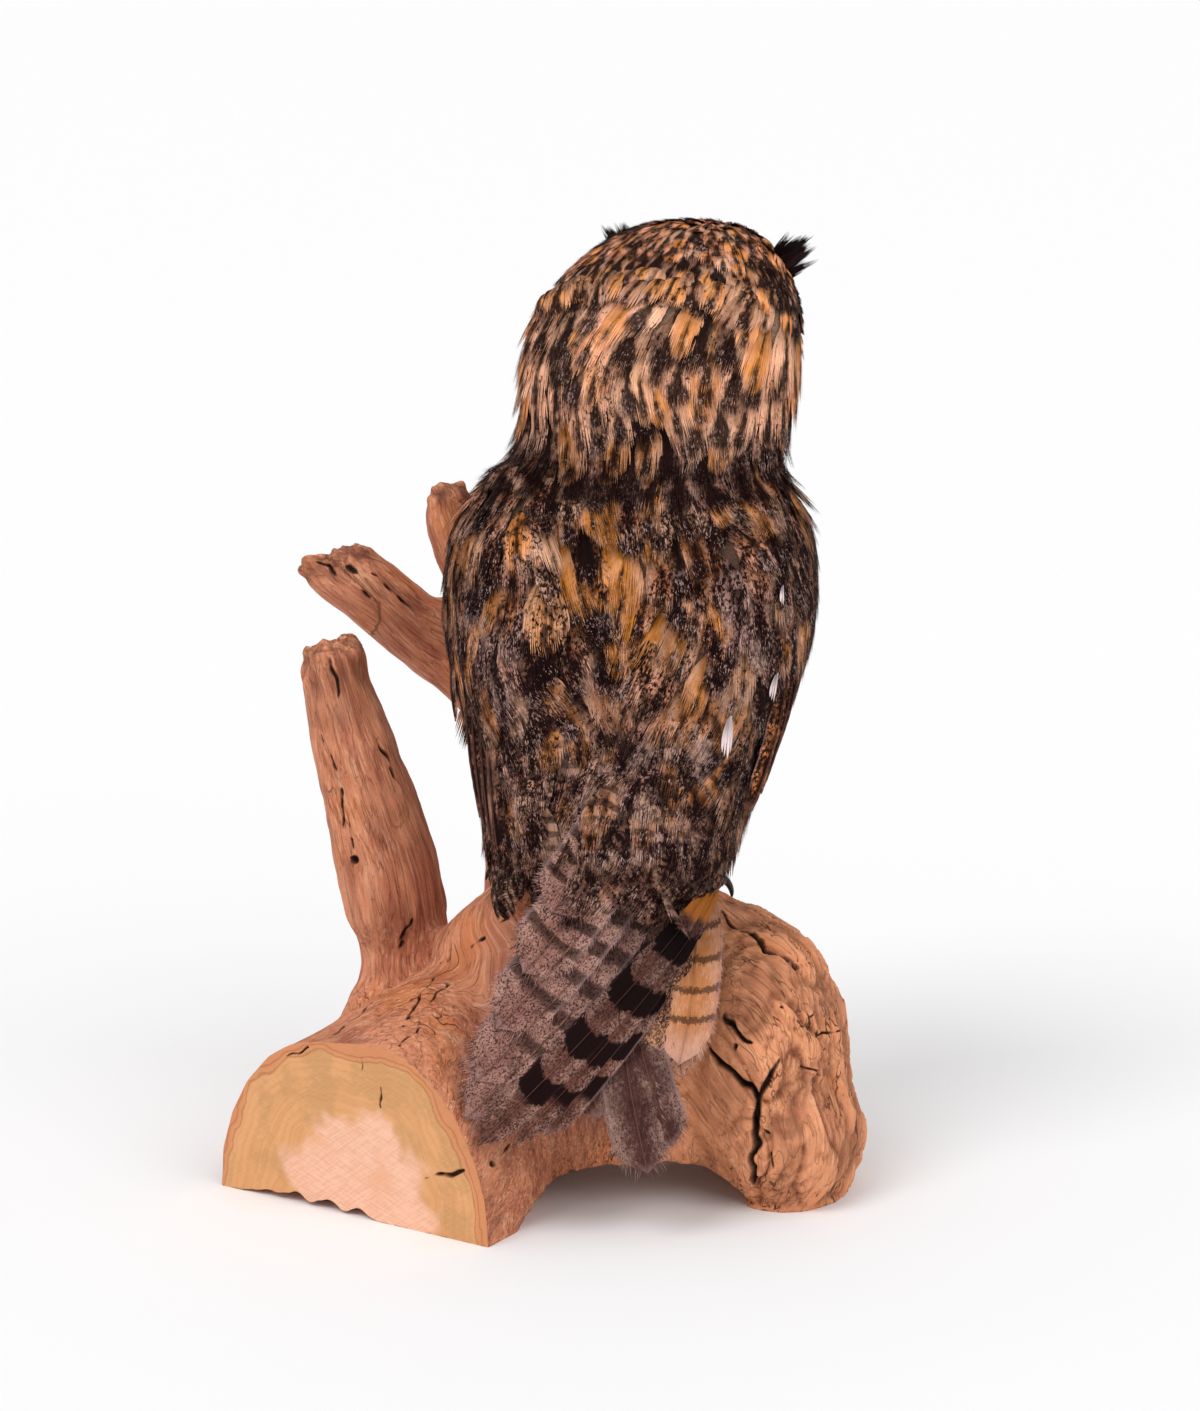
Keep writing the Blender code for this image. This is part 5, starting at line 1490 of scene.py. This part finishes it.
def wood_finish():
    f = Finish("driftwood_grain", Roughness=0.78)
    f.shader.inputs["Specular IOR Level"].default_value = 0.25
    wear_and_shade, cut = f.attribute("wear_and_shade"), f.attribute("cut")
    on_branch, hollow, crack = f.split(wear_and_shade)
    burl = f.attribute("wear_and_shade", "Alpha")
    sawn, ring, pink = f.split(cut)
    broken = f.attribute("cut", "Alpha")
    log, branch = f.attribute("grain_log", "Vector"), f.attribute("grain_branch", "Vector")
    place = f.place()

    def grain(along, across, detail, twist):
        shades = [f.noise(f.scaled(where, along, across, across), 1.0, detail, 0.6, twist)
                  for where in (log, branch)]
        return shades[0] * (1.0 - on_branch) + shades[1] * on_branch

    streaks = grain(14.0, 150.0, 3.0, 0.6)
    fibres = grain(30.0, 620.0, 3.0, 0.3)
    bands = grain(9.0, 46.0, 2.0, 1.2)
    patches = f.noise(place, 22.0, 3.0)
    speckle = f.noise(place, 420.0, 3.0, 0.7)
    warm, deep = colour(214, 139, 103), colour(186, 113, 84)
    pale, rust = colour(240, 188, 152), colour(206, 120, 66)
    paint = f.mix(bands.step(0.36, 0.62), deep, warm)
    paint = f.mix(patches.step(0.50, 0.68) * 0.65, paint, rust)
    calm = 1.0 - on_branch * 0.35
    paint = f.mix(streaks.step(0.54, 0.72) * 0.55 * calm, paint, pale)
    paint = f.mix((1.0 - streaks.step(0.30, 0.44)) * 0.50 * calm, paint, colour(118, 64, 46))
    paint = f.mix(fibres.step(0.54, 0.66) * 0.42, paint, pale)
    paint = f.mix((1.0 - fibres.step(0.34, 0.46)) * 0.50, paint, colour(126, 68, 46))
    paint = f.mix((1.0 - speckle.step(0.30, 0.42)) * 0.35, paint, colour(98, 54, 40))
    pure = 1.0 - on_branch * (1.0 - on_branch) * 3.6
    thin = (grain(6.0, 58.0, 3.0, 0.2) - 0.5).math("ABSOLUTE")
    thinner = (grain(11.0, 130.0, 2.0, 0.2) - 0.5).math("ABSOLUTE")
    checked = (1.0 - thin.step(0.002, 0.009)) * (patches + burl * 0.08).step(0.54, 0.64) * pure
    checked = checked + (1.0 - thinner.step(0.003, 0.016)) * 0.30 * pure
    # painted light: the wood's right side, with the burl, painted lighter and warmer
    painted_light_tint = f.mix(1.0, paint, colour(255, 250, 238), "MULTIPLY")
    right_side = f.split(place)[0].step(0.03, 0.09)
    paint = f.mix(right_side * 0.9, paint, f.mix(0.34, painted_light_tint, colour(250, 178, 130)))
    paint = f.mix(checked * 0.75, paint, colour(70, 36, 26))
    # painted shade: the wood darkened in its hollows
    paint = f.mix(hollow * 0.60, paint, colour(92, 48, 34))
    paint = f.mix(broken * (1.0 - streaks.step(0.38, 0.60)) * 0.55, paint, colour(98, 58, 44))
    # painted shade: the inside of each crack painted near black
    paint = f.mix(crack * 0.93, paint, colour(24, 13, 10))
    flat = f.add("ShaderNodeVectorMath", {"operation": "DOT_PRODUCT"}, (place, tuple(SAW_ACROSS)), "Value")
    up = f.split(place)[2]
    scored = f.vector((flat * 0.82 + up * 0.57) * 60.0, (up * 0.82 - flat * 0.57) * 800.0, 0.0)
    crossed = f.vector((flat * 0.94 - up * 0.34) * 60.0, (up * 0.94 + flat * 0.34) * 800.0, 5.0)
    teeth = f.noise(scored, 1.0, 3.0, 0.6, 0.3) * 0.5 + f.noise(crossed, 1.0, 3.0, 0.6, 0.3) * 0.5
    stain = f.noise(place, 38.0, 4.0, 0.6)
    rings = f.noise(f.vector(ring * 34.0, stain, 0.0), 1.0, 3.0)
    tan = f.mix(rings.step(0.40, 0.60) * 0.5, colour(222, 162, 110), colour(204, 146, 96))
    tan = f.mix((1.0 - stain.step(0.40, 0.56)) * 0.45, tan, colour(184, 138, 90))
    heart = f.mix(teeth.step(0.42, 0.60) * 0.55, colour(242, 192, 164), colour(222, 158, 126))
    heart = f.mix(stain.step(0.48, 0.66) * 0.6, heart, colour(232, 168, 130))
    face = f.mix(pink, tan, heart)
    face = f.mix(teeth.step(0.50, 0.62) * 0.25 * (1.0 - pink), face, colour(228, 178, 128))
    wavy = ring + (stain - 0.5) * 0.10
    face = f.mix(wavy.step(0.91, 0.96) * 0.80, face, colour(208, 134, 92))
    for place_of_line in (0.925, 0.960):
        line = (wavy - place_of_line).math("ABSOLUTE")
        face = f.mix((1.0 - line.step(0.002, 0.009)) * 0.5, face, colour(170, 96, 58))
    # painted shade: the cracks on the saw face painted dark
    face = f.mix(crack * 0.9, face, colour(48, 26, 18))
    paint = f.mix(sawn, paint, face)
    rough = fibres * 0.5 + streaks * 0.5 + speckle * 0.25
    relief = (rough - checked * 1.2) * (1.0 - sawn) + (teeth * 0.35 + rings * 0.10) * sawn
    dryness = 0.70 + hollow * 0.2 + burl * 0.04
    return f.paint(Base_Color=paint, Normal=f.bump(relief, 0.85, 0.0016), Roughness=dryness)


def make_driftwood():
    mesh = wood_blank()
    weather(mesh)
    mesh.shade_smooth()
    shown("driftwood_weathered", mesh, wood_finish(), ["driftwood"])


make_driftwood()


# ---------------------------------------------------------------- studio
def make_camera():
    data = bpy.data.cameras.new("camera")
    camera = bpy.data.objects.new("camera", data)
    bpy.context.scene.collection.objects.link(camera)
    elevation, distance = math.radians(12), 2.75
    target = Vector((0.034, 0.0, HEIGHT / 2))
    back = Vector((0, -math.cos(elevation), math.sin(elevation)))
    camera.location = target + back * distance
    camera.rotation_euler = back.to_track_quat("Z", "Y").to_euler()
    data.lens = 121.0
    data.sensor_width = 36.0
    data.clip_end = 200.0
    bpy.context.scene.camera = camera


def sun(name, direction, strength, size):
    data = bpy.data.lights.new(name, "SUN")
    data.energy = strength
    data.angle = math.radians(size)
    light = bpy.data.objects.new(name, data)
    light.rotation_euler = Vector(direction).to_track_quat("Z", "Y").to_euler()
    bpy.context.scene.collection.objects.link(light)


def make_studio():
    bm = bmesh.new()
    bmesh.ops.create_circle(bm, cap_ends=True, segments=64, radius=60.0)
    f = Finish("white_floor", Roughness=0.7, Base_Color=(0.93, 0.93, 0.94, 1))
    f.shader.inputs["Specular IOR Level"].default_value = 0.2
    mesh = mesh_of(bm, "floor")
    mesh.materials.append(f.material)
    floor = bpy.data.objects.new("floor", mesh)
    bpy.context.scene.collection.objects.link(floor)
    world = bpy.data.worlds.new("studio")
    world.use_nodes = True
    world.node_tree.nodes["Background"].inputs["Color"].default_value = (1, 1, 1, 1)
    shown_sky = world.node_tree.nodes["Background"]
    lighting = world.node_tree.nodes.new("ShaderNodeBackground")
    lighting.inputs["Color"].default_value = (1, 1, 1, 1)
    lighting.inputs["Strength"].default_value = 0.66
    both = world.node_tree.nodes.new("ShaderNodeMixShader")
    seen = world.node_tree.nodes.new("ShaderNodeLightPath")
    link = world.node_tree.links.new
    link(seen.outputs["Is Camera Ray"], both.inputs[0])
    link(lighting.outputs[0], both.inputs[1])
    link(shown_sky.outputs[0], both.inputs[2])
    link(both.outputs[0], world.node_tree.nodes["World Output"].inputs["Surface"])
    bpy.context.scene.world = world
    bpy.context.scene.view_settings.view_transform = "Standard"
    sun("key", (-0.60, -0.65, 1.1), 1.10, 30)
    sun("fill", (0.65, -0.78, 0.80), 0.80, 50)


make_camera()
make_studio()
